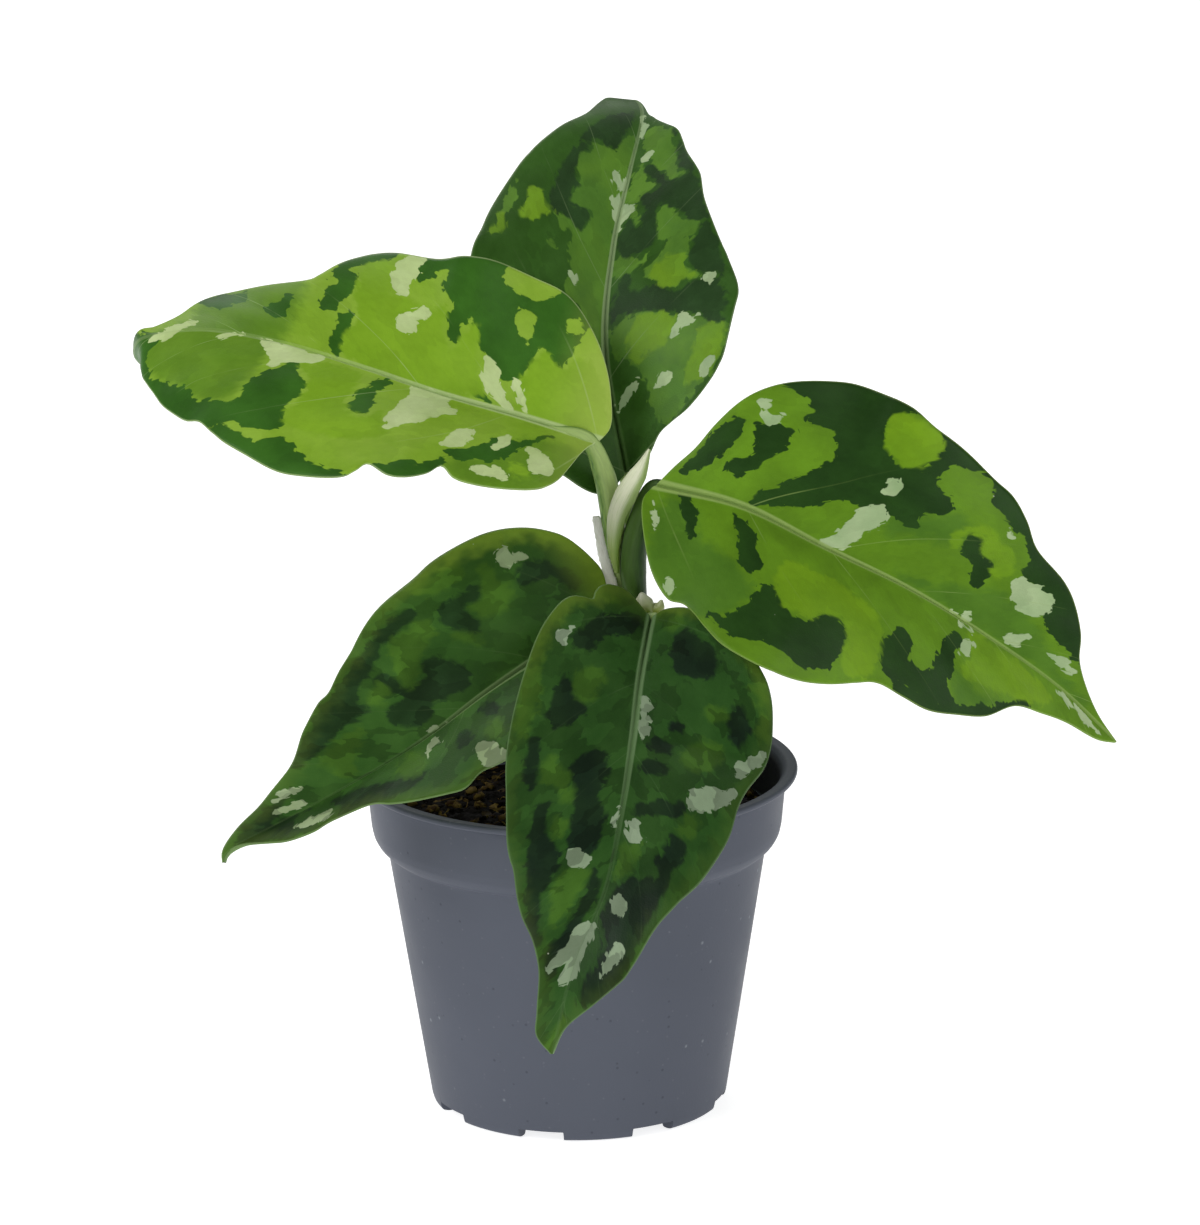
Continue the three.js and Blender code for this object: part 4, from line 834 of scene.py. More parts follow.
BLOTCHES["front"]["bright"] = [
    [22.5, 11.5, 25, 12, 27.5, 10.5, 28, 8, 25.5, 6.5, 23.5, 7.5, 22, 9.5],
    [34.5, 9, 36, 10.5, 38.5, 9.8, 38, 8, 35.5, 8],
    [0.5, 4.5, 3, 5.5, 3.5, 3.5, 1.5, 3],
    [10, 15.5, 15, 17.4, 20, 18, 21.5, 16.8, 17, 16, 12, 14.6],
    [39.8, 3, 42, 3.2, 44.5, 2.5, 45.5, 1, 43, 0.6, 40.5, 1],
    [45, -3, 48, -3, 53, -3.6, 54, -5, 50, -6.5, 46.5, -6, 45, -5],
    [10, -13.5, 15, -13.2, 21, -13, 26, -14, 25, -15.6, 17, -15.6, 11, -14.8],
    [29.5, -9.3, 31.5, -7.2, 35.5, -6.8, 35.5, -8, 33.5, -9, 33.3, -11, 30, -11.3, 28.5, -10.5],
    [14, -4.5, 19, -6.5, 18, -8.5, 15, -8.8, 12.5, -7],
    [37.8, -7.5, 39.5, -6.6, 41, -7, 41, -8.5, 38, -8.7],
    [0, -4.5, -3, -5.5, -3, -8, 0.8, -9.4, 1.5, -7],
    [4, -9.5, 5.5, -11.5, 8, -13.4, 5.5, -13.6, 2.8, -10.6],
    [17.2, 11.5, 18.5, 12.3, 19.4, 11, 19.3, 9.8, 18, 9.2, 17.2, 10],
    [65, 0.6, 69.8, 0.4, 69, -1.4, 66.5, -1],
]
BLOTCHES["front"]["silver"] = [
    [15.3, 1, 17.5, 2.2, 19, 1.6, 20.5, 2.4, 23, 1.6, 22, 0.8, 17, 0.6],
    [22.4, 17.6, 25, 17.2, 26.8, 16, 28.1, 15.2, 27.2, 13.9, 25.2, 14.2, 23.6, 15.6],
    [30, 14.2, 31.8, 14.4, 33.6, 12.8, 34.6, 10.4, 33, 8.2, 30.8, 8.6, 30.4, 11, 30.6, 12.6],
    [36.6, 2.6, 38.4, 3, 39.8, 3.8, 39.6, 1.8, 37.4, 0.8, 36.6, 1.2],
    [47.2, 2, 48, 3.6, 49.9, 3.5, 49.9, 1.9, 48.6, 1.4],
    [53, 4.4, 53.6, 5.7, 55.4, 5.4, 57, 4.6, 58.4, 3.9, 56, 3.8, 54, 3.8],
    [42.5, -4, 42.8, -3, 44.6, -3.2, 45, -5.4, 43.4, -6, 42.5, -5.8],
    [52, 0.4, 53.5, 0.9, 55.5, 0.8, 57, 0.6, 58.5, 1, 60, 0.2, 60.6, -1.2, 59, -1.4, 57.6, -1,
     59.8, -2.8, 58.4, -3.1, 56.6, -2.4, 55, -1.8, 53.6, -1.9, 52.2, -1],
    [7.2, -10.2, 9.2, -10.6, 11, -11.2, 10.4, -12.4, 8.4, -12.4, 8, -11.2],
    [34.8, -0.3, 37.5, -0.5, 37.4, -1, 35.5, -0.8],
]
print("blotches:", {n: sum(len(v) for v in p.values()) for n, p in BLOTCHES.items()})

# %% Distance to a blotch
FAR = 4.0  # distances beyond this are all the same to the shader


def blotch_distance(outline, a, b):
    """Signed distance in mm from each point to a closed outline, positive inside. The outline's
    corners are rounded by a smooth curve through them. The distance is the least one to any of
    its short edges: the point is dropped onto the edge's line and held between its two ends.
    A point is inside where a line from it along the leaf crosses an odd number of edges."""
    corners = np.reshape(outline, (-1, 2)).astype(float)
    loop = np.vstack([corners[-1:], corners, corners[:2]])
    count = len(loop) - 1
    curve = catmull(loop, np.linspace(1 / count, 1 - 1 / count, 4 * len(corners) + 1))[:-1]
    low, high = curve.min(0) - FAR, curve.max(0) + FAR
    near = (a > low[0]) & (a < high[0]) & (b > low[1]) & (b < high[1])
    x, y = a[near][:, None], b[near][:, None]
    (x0, y0), (x1, y1) = curve.T, np.roll(curve, -1, 0).T
    step_x, step_y = x1 - x0, y1 - y0
    held = ((x - x0) * step_x + (y - y0) * step_y) / (step_x ** 2 + step_y ** 2)
    held = np.clip(held, 0, 1)
    gap = np.hypot(x - x0 - held * step_x, y - y0 - held * step_y).min(1)
    slope = np.where(step_y == 0, 1, step_y)
    crossing = ((y0 > y) != (y1 > y)) & (x < x0 + step_x * (y - y0) / slope)
    inside = crossing.sum(1) % 2 == 1
    distance = np.full(a.shape, -FAR)
    distance[near] = np.where(inside, gap, -gap)
    return np.clip(distance, -FAR, FAR)


def nearest(outlines, a, b):
    """The greatest of the distances to several outlines, so a point counts as inside any."""
    distances = [blotch_distance(outline, a, b) for outline in outlines]
    return np.max(distances, axis=0) if distances else np.full(a.shape, -FAR)


square = [0, 0, 4, 0, 4, 4, 0, 4]
print("inside and outside:", blotch_distance(square, np.array([2, 6]), np.array([2, 2])).round(1))

# %% [markdown]
# ## Leaf skin
#
# A leaf's upper face is covered by a thin waxy cuticle over green tissue, which gives the eye
# a satin gloss with no sharp mirror. Silver blotches are air under the skin, so they look
# paler and a little duller. The veins show as pale lines, the margin as a thin pale thread, and
# the lower face is greyer and dull. The pattern could be painted on an image. It is worked out
# from the distances instead, because then each edge stays sharp from as near as one likes.
#
# A real blotch ends at one of the finest veins, so its edge runs in small steps of half a
# millimetre. Random cells on the "grain" coordinates make them: every cell shifts the edge by
# its own amount. In old leaves the greens bleed into each other, so their edges are soft.

# %% Where a point of the skin lies
def leaf_places(tree):
    """Where a point of the skin lies. The mesh carries three vectors: blade is mm along, across
    and left to the margin, vein is the count of side veins and the distance from the midrib as a
    share of the rib's half width and in mm, and grain is what noise is laid out by, in mm."""
    blade, vein, grain = (add_node(tree, "Attribute", attribute_name=name).outputs["Vector"]
                          for name in ("blade", "vein", "grain"))
    length_way, _, to_margin = add_node(tree, "SeparateXYZ", {0: blade}).outputs
    count, rib_share, distance = add_node(tree, "SeparateXYZ", {0: vein}).outputs
    return SimpleNamespace(
        blade=blade, grain=grain, length_way=length_way, to_margin=to_margin, count=count,
        rib_share=rib_share, distance=distance,
        lower_face=add_node(tree, "Attribute", attribute_name="lower_face").outputs["Fac"],
        on_object=add_node(tree, "TexCoord").outputs["Object"])


# %% How far an edge is moved
STEPS_PER_MM = 1.15  # cells of 0.9 mm along an edge
STEP_HEIGHT = 0.55  # mm by which one step differs from the next
WAVES_PER_MM = 0.7
DRIFT = 0.85  # mm by which the waves move an edge, either way


def edge_shift(tree, grain):
    """How far an edge is moved here, in mm: smooth noise from 0 to 1 times twice the drift, plus
    the random step of the cell, less the mean of both. Gives the noise too."""
    noise = add_node(tree, "TexNoise", {"Vector": grain, "Scale": WAVES_PER_MM, "Detail": 1.2})
    cells = add_node(tree, "TexVoronoi", {"Vector": grain, "Scale": STEPS_PER_MM,
                                          "Randomness": 0.9})
    cell = add_node(tree, "SeparateColor", {0: cells.outputs["Color"]})
    mean = 0.5 * (STEP_HEIGHT + 2 * DRIFT)
    step = add_node(tree, "Math", {0: cell, 1: STEP_HEIGHT, 2: -mean}, operation="MULTIPLY_ADD")
    moved = add_node(tree, "Math", {0: noise, 1: 2 * DRIFT, 2: step}, operation="MULTIPLY_ADD")
    return noise, moved


# %% How a green varies
CLOUDS_PER_MM = 0.13  # broad clouds, 8 mm wide
PATCHES_PER_MM = 0.32  # patches of 3 mm between the finer veins
PATCH_BEND = 3.0  # mm by which the noise bends the patches' edges
STREAKS_PER_MM = 1.3


def green_tones(tree, at, noise, patchy):
    """tone goes from 0 to 1 with the clouds, and fine is the noise of the streaks. uneven is a
    brightness: from 1 - patchy to 1 + patchy by patches, times 0.95 to 1.05 by streaks."""
    clouds = add_node(tree, "TexNoise", {"Vector": at.blade, "Scale": CLOUDS_PER_MM,
                                         "Detail": 2.0})
    tone = add_node(tree, "MapRange", {0: clouds, 1: 0.36, 2: 0.64})
    bent = add_node(tree, "VectorMath", {0: noise.outputs["Color"], 2: at.grain,
                                         1: (PATCH_BEND, PATCH_BEND, 0.0)},
                    operation="MULTIPLY_ADD")
    patches = add_node(tree, "TexVoronoi", {"Vector": bent, "Scale": PATCHES_PER_MM,
                                            "Smoothness": 0.06}, feature="SMOOTH_F1")
    patch = add_node(tree, "SeparateColor", {0: patches.outputs["Color"]}).outputs[1]
    fine = add_node(tree, "TexNoise", {"Vector": at.grain, "Scale": STREAKS_PER_MM, "Detail": 5.0,
                                       "Roughness": 0.65})
    by_patch = add_node(tree, "MapRange", {0: patch, 1: 0.25, 2: 0.75, 3: 1 - patchy,
                                           4: 1 + patchy})
    by_streak = add_node(tree, "MapRange", {0: fine, 1: 0.3, 2: 0.7, 3: 0.95, 4: 1.05})
    uneven = add_node(tree, "Math", {0: by_patch, 1: by_streak}, operation="MULTIPLY")
    return tone, fine, uneven


# %% [markdown]
# The skin is laid on in coats, as paint is. A coat is a measure, two values of it, the share of
# the coat at each of them, and its colour. The functions below list the coats, and the loop in
# the last of them mixes one over the other, from the ground up to the dust. One long chain of
# nodes would do the same, but a list is easier to read and to change.

# %% Coats of green and silver
LAYERS = ("mid", "dark", "bright")
RIM_WAVE = 3.0  # mm by which noise moves the inner edge of a yellow rim
RIM_MEAN = 1.4  # mm, the mean of that
RIM_LEAST = 0.12  # share of the rim's colour that reaches the leaf's tip
SILVER_SHIFT = -0.9  # an edge's shift times this moves the edge of a silver blotch
SILVER_EDGE = 0.07  # mm, half the width over which that edge fades


def green_coats(tree, tissue, edges, moved):
    """One coat for each kind of green blotch. It covers where the distance inside the blotch plus
    the edge's shift is above 0."""
    coats = []
    for kind in LAYERS:
        if kind in tissue:
            inside = add_node(tree, "Attribute", attribute_name=f"{kind}_gap").outputs["Fac"]
            inside = add_node(tree, "Math", {0: inside, 1: moved}, operation="ADD")
            coats.append((inside, -edges[kind], edges[kind], 0.0, 1.0, tissue[kind]))
    return coats


def yellow_coats(tree, at, noise, flush, rim):
    """The base, where the leaf turned green last, and the rim of an old leaf, which yellows from
    the margin in. The rim's share falls from the base to the place that it reaches."""
    coats = []
    if flush:
        colour, start, end, share = flush
        coats.append((at.length_way, start, end, share, 0.0, linear(colour)))
    if rim:
        colour, width, share, end = rim
        share = add_node(tree, "MapRange", {0: at.length_way, 1: 0.0, 2: end, 3: share,
                                            4: RIM_LEAST}, interpolation_type="SMOOTHSTEP")
        inward = add_node(tree, "Math", {0: noise, 1: -RIM_WAVE, 2: at.to_margin},
                          operation="MULTIPLY_ADD")
        coats.append((inward, -RIM_MEAN, width - RIM_MEAN, share, 0.0, linear(colour)))
    return coats


def silver_coat(tree, tissue, moved):
    """Silver blotches, crisp on every leaf."""
    inside = add_node(tree, "Attribute", attribute_name="silver_gap").outputs["Fac"]
    inside = add_node(tree, "Math", {0: moved, 1: SILVER_SHIFT, 2: inside},
                      operation="MULTIPLY_ADD")
    return inside, -SILVER_EDGE, SILVER_EDGE, 0.0, 1.0, tissue["silver"]


# %% Coats of veins, margin, lower face and dust
VEIN_LINE = (0.004, 0.012)  # shares of the spacing over which a side vein fades, 0.1 mm
VEINS_FADE = (3.0, 14.0)  # mm from the midrib between which side veins fade away
RIB_STRIPE = (0.75, 1.15)  # shares of the rib's half width where its pale stripe ends
RIB_GROOVE = (0.1, 0.4)  # and where the darker line in its groove ends
MARGIN_LINE = (0.08, 0.24)  # mm from the margin where its pale thread ends
DUST_PER_METRE = 300.0  # cells of 3.3 mm, of which one in six has a speck
DUST_LEAST = 0.84
DUST_EDGE = (0.02, 0.045)  # shares of a cell where a speck ends, a tenth of a millimetre


def vein_coats(tree, at, tone, rib, grows, fades, veins, below):
    """Side veins: thin pale lines where the vein count is a whole number, fading to the margin and
    broken by the clouds. The midrib: a pale stripe with a darker line in its groove. Then the
    thread of the margin, and the paler lower face."""
    start, end, least = grows
    begun = add_node(tree, "MapRange", {0: at.length_way, 1: start, 2: end, 3: least, 4: 1.0})
    start, end, least = fades
    ended = add_node(tree, "MapRange", {0: at.length_way, 1: start, 2: end, 3: 1.0, 4: least})
    strength = add_node(tree, "Math", {0: begun, 1: ended}, operation="MULTIPLY")
    stripe = add_node(tree, "Math", {0: strength, 1: 0.85}, operation="MULTIPLY")
    groove = add_node(tree, "Math", {0: strength, 1: 0.45}, operation="MULTIPLY")
    beside = add_node(tree, "Math", {0: at.count, 1: 0.5}, operation="PINGPONG")
    faint = add_node(tree, "MapRange", {0: at.distance, 1: VEINS_FADE[0], 2: VEINS_FADE[1],
                                        3: veins, 4: 0.0})
    broken = add_node(tree, "Math", {0: faint, 1: tone}, operation="MULTIPLY")
    pale, deep = linear(rib[0]), linear(rib[1])
    return [(beside, *VEIN_LINE, broken, 0.0, pale),
            (at.rib_share, *RIB_STRIPE, stripe, 0.0, pale),
            (at.rib_share, *RIB_GROOVE, groove, 0.0, deep),
            (at.to_margin, *MARGIN_LINE, 0.5, 0.0, pale),
            (at.lower_face, 0.0, 1.0, 0.0, 0.62, linear(below))]


def dust_coat(tree, at):
    """A few pale specks, in the middles of the cells whose random number is high enough."""
    cells = add_node(tree, "TexVoronoi", {"Vector": at.on_object, "Scale": DUST_PER_METRE})
    number = add_node(tree, "SeparateColor", {0: cells.outputs["Color"]})
    picked = add_node(tree, "Math", {0: number, 1: DUST_LEAST}, operation="GREATER_THAN")
    share = add_node(tree, "Math", {0: picked, 1: 0.5}, operation="MULTIPLY")
    return cells, *DUST_EDGE, share, 0.0, linear("#cfd6bd")


# %% Leaf gloss
LEAF_IOR = 1.42  # plant cuticle wax
LEAF_ROUGHNESS = 0.4
CELL_SIZE = 0.22  # mm, of the bumps of the skin, drawn coarser than real cells
CELL_HEIGHT = 0.05  # mm


def leaf_gloss(tree, at, silver_inside, fine):
    """Roughness and bump. The roughness is satin and varies with the streaks. Silver adds 0.08 to
    it and the lower face 0.22. Fine cells and streaks are the bump, which breaks highlights."""
    silvery = add_node(tree, "MapRange", {0: silver_inside, 1: -SILVER_EDGE, 2: SILVER_EDGE,
                                          3: 0.0, 4: 0.08})
    satin = add_node(tree, "MapRange", {0: fine, 1: 0.3, 2: 0.7, 3: LEAF_ROUGHNESS - 0.04,
                                        4: LEAF_ROUGHNESS + 0.06})
    above = add_node(tree, "Math", {0: silvery, 1: satin}, operation="ADD")
    rough = add_node(tree, "Math", {0: at.lower_face, 1: 0.22, 2: above},
                     operation="MULTIPLY_ADD")
    cells = add_node(tree, "TexVoronoi", {"Vector": at.on_object, "Scale": 1 / (CELL_SIZE * MM)})
    relief = add_node(tree, "Math", {0: cells, 1: 0.5, 2: fine}, operation="MULTIPLY_ADD")
    bump = add_node(tree, "Bump", {"Height": relief, "Strength": 0.5,
                                   "Distance": CELL_HEIGHT * MM})
    return rough, bump


# %% Leaf skin
def leaf_skin(name, greens, edges, rib, below, fades, grows=(0.0, 1.0, 1.0), veins=0.45,
              rim=None, flush=None, patchy=0.04, sheen=0.2):
    """A leaf material. greens gives two close colours, which the clouds blend, for the ground, the
    silver and each kind of blotch. edges is half the width in mm over which a blotch's edge
    fades. rib is the colours of the midrib and its groove. It grows and fades between two places
    in mm each, and the faint strength comes last. veins is the strength of the side veins, and
    below the colour of the lower face. rim is the margin's colour, width, share and reach, and
    flush the base's colour, start, end and share. sheen is how much of a smooth wax's reflection
    is left, as old leaves are dusty."""
    material, tree, shader = new_finish(name)
    at = leaf_places(tree)
    noise, moved = edge_shift(tree, at.grain)
    tone, fine, uneven = green_tones(tree, at, noise, patchy)
    tissue = {}
    for kind, (first, second) in greens.items():
        blend = add_node(tree, "Mix", {0: tone, 6: linear(first), 7: linear(second)},
                         data_type="RGBA")
        tissue[kind] = add_node(tree, "VectorMath", {0: blend, "Scale": uneven},
                                operation="SCALE")
    silver = silver_coat(tree, tissue, moved)
    coats = [*green_coats(tree, tissue, edges, moved),
             *yellow_coats(tree, at, noise, flush, rim), silver,
             *vein_coats(tree, at, tone, rib, grows, fades, veins, below), dust_coat(tree, at)]
    skin = tissue["ground"]
    for measure, low, high, at_low, at_high, colour in coats:
        share = add_node(tree, "MapRange", {0: measure, 1: low, 2: high, 3: at_low, 4: at_high},
                         interpolation_type="SMOOTHSTEP")
        skin = add_node(tree, "Mix", {0: share, 6: skin, 7: colour}, data_type="RGBA")
    rough, bump = leaf_gloss(tree, at, silver[0], fine)
    set_sockets(tree, shader, {"Base Color": skin, "Roughness": rough, "Normal": bump,
                               "IOR": LEAF_IOR, "Specular IOR Level": sheen})
    print(name, "coats", len(coats), "nodes", len(tree.nodes))
    return material


# %% The finish of each leaf
SKINS = {
    "left": leaf_skin(
        "leaf_cuticle_satin_young",
        greens={"ground": ("#80a72a", "#8cb039"), "mid": ("#658d22", "#5b841c"),
                "dark": ("#2e5a15", "#38681b"), "bright": ("#81aa26", "#79a220"),
                "silver": ("#b3c884", "#c2d496")},
        edges={"mid": 1.2, "dark": 0.1, "bright": 0.5},
        rib=("#b4c98a", "#86a25a"), below="#8fa873", fades=(20.0, 42.0, 0.2),
        flush=("#a8bc58", 0.0, 10.0, 0.5)),
    "right": leaf_skin(
        "leaf_cuticle_satin_full",
        greens={"ground": ("#628c1a", "#587f17"), "mid": ("#527b20", "#48701b"),
                "dark": ("#1c3a0e", "#244513"), "bright": ("#729a18", "#678f16"),
                "silver": ("#94ae7c", "#a9bd8e")},
        edges={"mid": 1.0, "dark": 0.1, "bright": 0.4},
        rib=("#8fa85c", "#68863f"), below="#86a06a", fades=(30.0, 60.0, 0.6)),
    "back": leaf_skin(
        "leaf_cuticle_satin_shaded",
        greens={"ground": ("#2f5318", "#3a6023"), "mid": ("#5a832a", "#4c7428"),
                "dark": ("#243c1c", "#2b4722"), "bright": ("#6d9420", "#658d25"),
                "silver": ("#98b083", "#a6ba8b")},
        edges={"mid": 0.15, "dark": 0.3, "bright": 0.35},
        rib=("#8ca272", "#567048"), below="#7d9764", grows=(8.0, 22.0, 0.15),
        fades=(40.0, 50.0, 0.5), patchy=0.07, sheen=0.14),
    "low": leaf_skin(
        "leaf_cuticle_satin_old",
        greens={"ground": ("#2e511d", "#395d24"), "dark": ("#1b3116", "#264020"),
                "bright": ("#38591b", "#486e24"), "silver": ("#8a9c72", "#9aab84")},
        edges={"dark": 0.35, "bright": 0.6},
        rib=("#7b9560", "#52703f"), below="#74905c", fades=(22.0, 36.0, 0.12), veins=0.16,
        rim=("#86a336", 3.2, 0.8, 30.0), flush=("#86a336", -2.5, 4.0, 0.75),
        patchy=0.22, sheen=0.14),
    "front": leaf_skin(
        "leaf_cuticle_satin_oldest",
        greens={"ground": ("#254619", "#2f5120"), "dark": ("#142516", "#1c3019"),
                "bright": ("#35561a", "#3f6320"), "silver": ("#7a8c6f", "#899b7e")},
        edges={"dark": 0.35, "bright": 0.6},
        rib=("#6c885c", "#4d6d3c"), below="#74905c", fades=(22.0, 42.0, 0.12), veins=0.16,
        rim=("#66802a", 2.7, 0.6, 24.0), flush=("#5a7620", -2.5, 3.0, 0.55),
        patchy=0.22, sheen=0.14),
}

for name, leaf in LEAVES.items():
    shape, a, b, facts = leaf_shape(leaf)
    gaps = {kind: nearest(outlines, a, b) for kind, outlines in BLOTCHES[name].items()}
    if "holes" in gaps:
        gaps["dark"] = np.minimum(gaps["dark"], -gaps.pop("holes"))
    attributes = {f"{kind}_gap": np.tile(gap.ravel(), 2) for kind, gap in gaps.items()}
    attributes["lower_face"] = np.repeat([0.0, 1.0], a.size)
    for label, values in facts.items():
        attributes[label] = np.tile(values.reshape(-1, 3), (2, 1))
    build_piece(f"{name}_leaf_blade", shape, f"leaf_{name}", SKINS[name], attributes)

# %% [markdown]
# ## Leaf stalks
#
# Each leaf stands on a petiole of two to three millimetres. At its foot it widens and clasps
# the stem, and higher up a shallow groove runs along its inner side. A plain tube would look
# like wire. Here the ring that is carried along the stalk has a dent on one side, and the
# radius swells towards the foot.

# %% Petiole skin
STREAK_STRETCH = (0.0, 2.6, 0.25)  # for share, angle and mm along: long thin streaks
STREAK_SCALE = 1.6
RIB_RELIEF_MM = 0.12


def stalk_skin(name, pale, deep, pale_side):
    """Petiole tissue: a thin waxy skin over ribbed fibres. Streaks along the stalk run between a
    pale and a deep green, and the groove side is paler. attribute "along" holds the share of the
    length, the angle and the distance in mm."""
    material, tree, shader = new_finish(name)
    place = add_node(tree, "Attribute", attribute_name="along").outputs["Vector"]
    angle = add_node(tree, "SeparateXYZ", {0: place}).outputs[1]
    stretched = add_node(tree, "VectorMath", {0: place, 1: STREAK_STRETCH}, operation="MULTIPLY")
    streaks = add_node(tree, "TexNoise", {"Vector": stretched, "Scale": STREAK_SCALE,
                                          "Detail": 3.0})
    share = add_node(tree, "MapRange", {0: streaks, 1: 0.35, 2: 0.65})
    tissue = add_node(tree, "Mix", {0: share, 6: linear(deep), 7: linear(pale)}, data_type="RGBA")
    facing_groove = add_node(tree, "Math", {0: angle}, operation="SINE")
    groove_side = add_node(tree, "MapRange", {0: facing_groove, 1: 0.2, 2: 1.0, 3: 0.0, 4: 0.7},
                           interpolation_type="SMOOTHSTEP")
    sided = add_node(tree, "Mix", {0: groove_side, 6: tissue, 7: linear(pale_side)},
                     data_type="RGBA")
    ribs = add_node(tree, "Bump", {"Height": streaks, "Strength": 0.6,
                                   "Distance": RIB_RELIEF_MM * MM})
    set_sockets(tree, shader, {"Base Color": sided, "Roughness": 0.42, "IOR": LEAF_IOR,
                               "Specular IOR Level": 0.25, "Normal": ribs})
    return material


STALK_GREEN = stalk_skin("petiole_tissue_waxy", "#86a850", "#4d7330", "#b3c97f")
# A darker copy for the right stalk: partly its own deeper green, and partly painted shade, as it
# stands in shadow.
STALK_DARK_PAINTED_SHADE = stalk_skin("petiole_tissue_waxy_dark_painted_shade", "#345420", "#20391a", "#4a6828")
print("stalk skins ready")

# %% Petioles
# The last points of a stalk are mm past the leaf's base and mm above the blade, here under it.
UNDER = [[-1.6, -1.1], [2, -1.0], [7, -0.6]]
PETIOLES = {  # path in mm, its last points, radii from foot to tip, the groove's side
    "back": ([[8.1, 3.0, 69.1], [7.7, 3.3, 76], [7.3, 4.6, 81]], UNDER,
             [1.25, 1.2, 1.15, 1.05, 0.9, 0.3], (0, -1, 0.3), STALK_GREEN),
    "left": ([[5.8, 1.2, 69.25], [5.8, 0.9, 76], [5.0, 0.4, 83], [3.9, 0.0, 88.4]],
             [[1.8, 0.3], [7, 0.0]], [1.4, 1.5, 1.6, 1.5, 1.1, 0.3], (0.5, -1, 0), STALK_GREEN),
    "right": ([[8.4, -0.5, 69.1], [7.9, -0.9, 75], [8.5, -1.3, 80.3]], [[-0.5, -1.6], [2.8, -0.9]],
              [1.4, 1.8, 1.75, 1.3, 0.6], (-0.8, -1, 0.2), STALK_DARK_PAINTED_SHADE),
    "low": ([[3.2, -1.0, 50.5], [2.0, -3.6, 54.5], [2.4, -4.4, 60], [3.9, -4.4, 64]], UNDER,
            [1.3, 1.2, 1.1, 1.0, 0.8, 0.3], (0.2, 0.4, 1), STALK_GREEN),
    "front": ([[5.2, -1.0, 54.5], [6.9, -3.4, 58], [8.4, -3.9, 62], [9.8, -4.1, 66]], UNDER,
              [1.3, 1.2, 1.1, 1.0, 0.8, 0.3], (0, 0.3, 1), STALK_GREEN),
}
STALK_SIDES = 28
STALK_STEPS = 70
DENT, DENT_WIDTH = 0.26, 0.45  # the groove: share of the radius, and radians
DENT_START = (0.15, 0.6)  # shares of the length between which it grows


def groove_section(t, angle):
    """The stalk's ring: a circle with a dent of up to a quarter of the radius around the angle
    that faces front. The dent is a bell curve, and it grows from the foot up."""
    away = np.angle(np.exp(1j * (angle - np.pi / 2)))
    return 1 - DENT * smooth(t, *DENT_START) * np.exp(-(away / DENT_WIDTH) ** 2)


def stalk_path(name):
    """The stalk's own points, and a last stretch that runs the way the midrib starts, against
    the underside of the blade or, on the left leaf, into the top of its midrib."""
    leaf = LEAVES[name]
    rib, _ = walk(leaf["midrib"], np.linspace(0, 1, RIB_STEPS))
    run = unit(rib[1] - rib[0])
    a = np.array([0.0, 0.0, 0.0])
    middle, left, right_side = bend_blade(leaf, a, np.array([0.0, 0.4, -0.4]))
    above = unit(np.cross(run, left - right_side))
    points, ends = PETIOLES[name][:2]
    return points + [(middle + run * past + above * over).tolist() for past, over in ends]


for name, (_, _, radii, facing, skin) in PETIOLES.items():
    path = stalk_path(name)
    shape = tube(path, radii, STALK_SIDES, STALK_STEPS, facing, groove_section)
    length = walk(path, 1)[1]
    t, angle = np.meshgrid(np.linspace(0, 1, STALK_STEPS),
                           np.linspace(0, 2 * np.pi, STALK_SIDES, endpoint=False), indexing="ij")
    facts = np.stack([t, angle, t * length], -1).reshape(-1, 3)
    facts = np.vstack([facts, [[0, 0, 0], [1, 0, length]]])
    build_piece(f"{name}_leaf_stalk", shape, f"petiole_{name}", skin,
                {"along": facts})

# %% [markdown]
# ## Sheaths and bud
#
# Between the stalks stands a cream wing, the edge of a stalk's sheath, and left of it the papery
# remains of an older one. Both are thin strips. A strip is a grid too: along its centre line,
# and across it from one edge to the other, hollowed a little like a gutter. The bud is two small
# tapered tubes, one a pale ear and one a green knob.

# %% Strips
STRIP_ROWS, STRIP_COLUMNS = 90, 15
EDGE_THICKNESS = 0.25  # share of the middle's thickness


def strip_shape(path, half_widths, thickness, facing, hollow, fray=0.0, seed=1):
    """A thin curved strip. A point is the centre line plus the half width times s to the side,
    less the hollow times the half width times s squared along the way the face looks, for s
    from -1 to 1. fray is how far, in mm, the edges are torn in and out at random."""
    t = np.linspace(0, 1, STRIP_ROWS)
    centre, _ = walk(path, t)
    run = unit(np.gradient(centre, axis=0))
    face = unit(np.broadcast_to(np.asarray(facing, float), run.shape))
    side = unit(np.cross(face, run))
    face = np.cross(run, side)
    s = np.linspace(-1, 1, STRIP_COLUMNS)
    torn = np.random.default_rng(seed).uniform(-1, 1, (2, STRIP_ROWS)) * fray
    torn = (torn + np.roll(torn, 1, 1)) / 2
    half = along(half_widths, t)
    half = np.where(s[None] < 0, (half + torn[0])[:, None], (half + torn[1])[:, None])
    middle = centre[:, None] + (half * s)[..., None] * side[:, None]
    middle = middle - (hollow * half * s ** 2)[..., None] * face[:, None]
    profile = EDGE_THICKNESS + (1 - EDGE_THICKNESS) * np.sqrt(1 - s ** 4)
    thick = thickness * profile[None, :, None] * face[:, None] / 2
    facts = np.stack(np.broadcast_arrays(t[:, None], s[None], half), -1)
    front, back = (middle + thick)[:, ::-1], (middle - thick)[:, ::-1]
    return closed_sheet(front, back), np.tile(facts[:, ::-1].reshape(-1, 3), (2, 1))


# %% Sheath finishes
FIBRE_STRETCH = (3.0, 5.0, 0.0)  # for the shares along and across
FIBRE_SHIFT = 0.25  # share of the length by which fibres shift the colours' turn
FIBRE_RELIEF_MM = 0.15


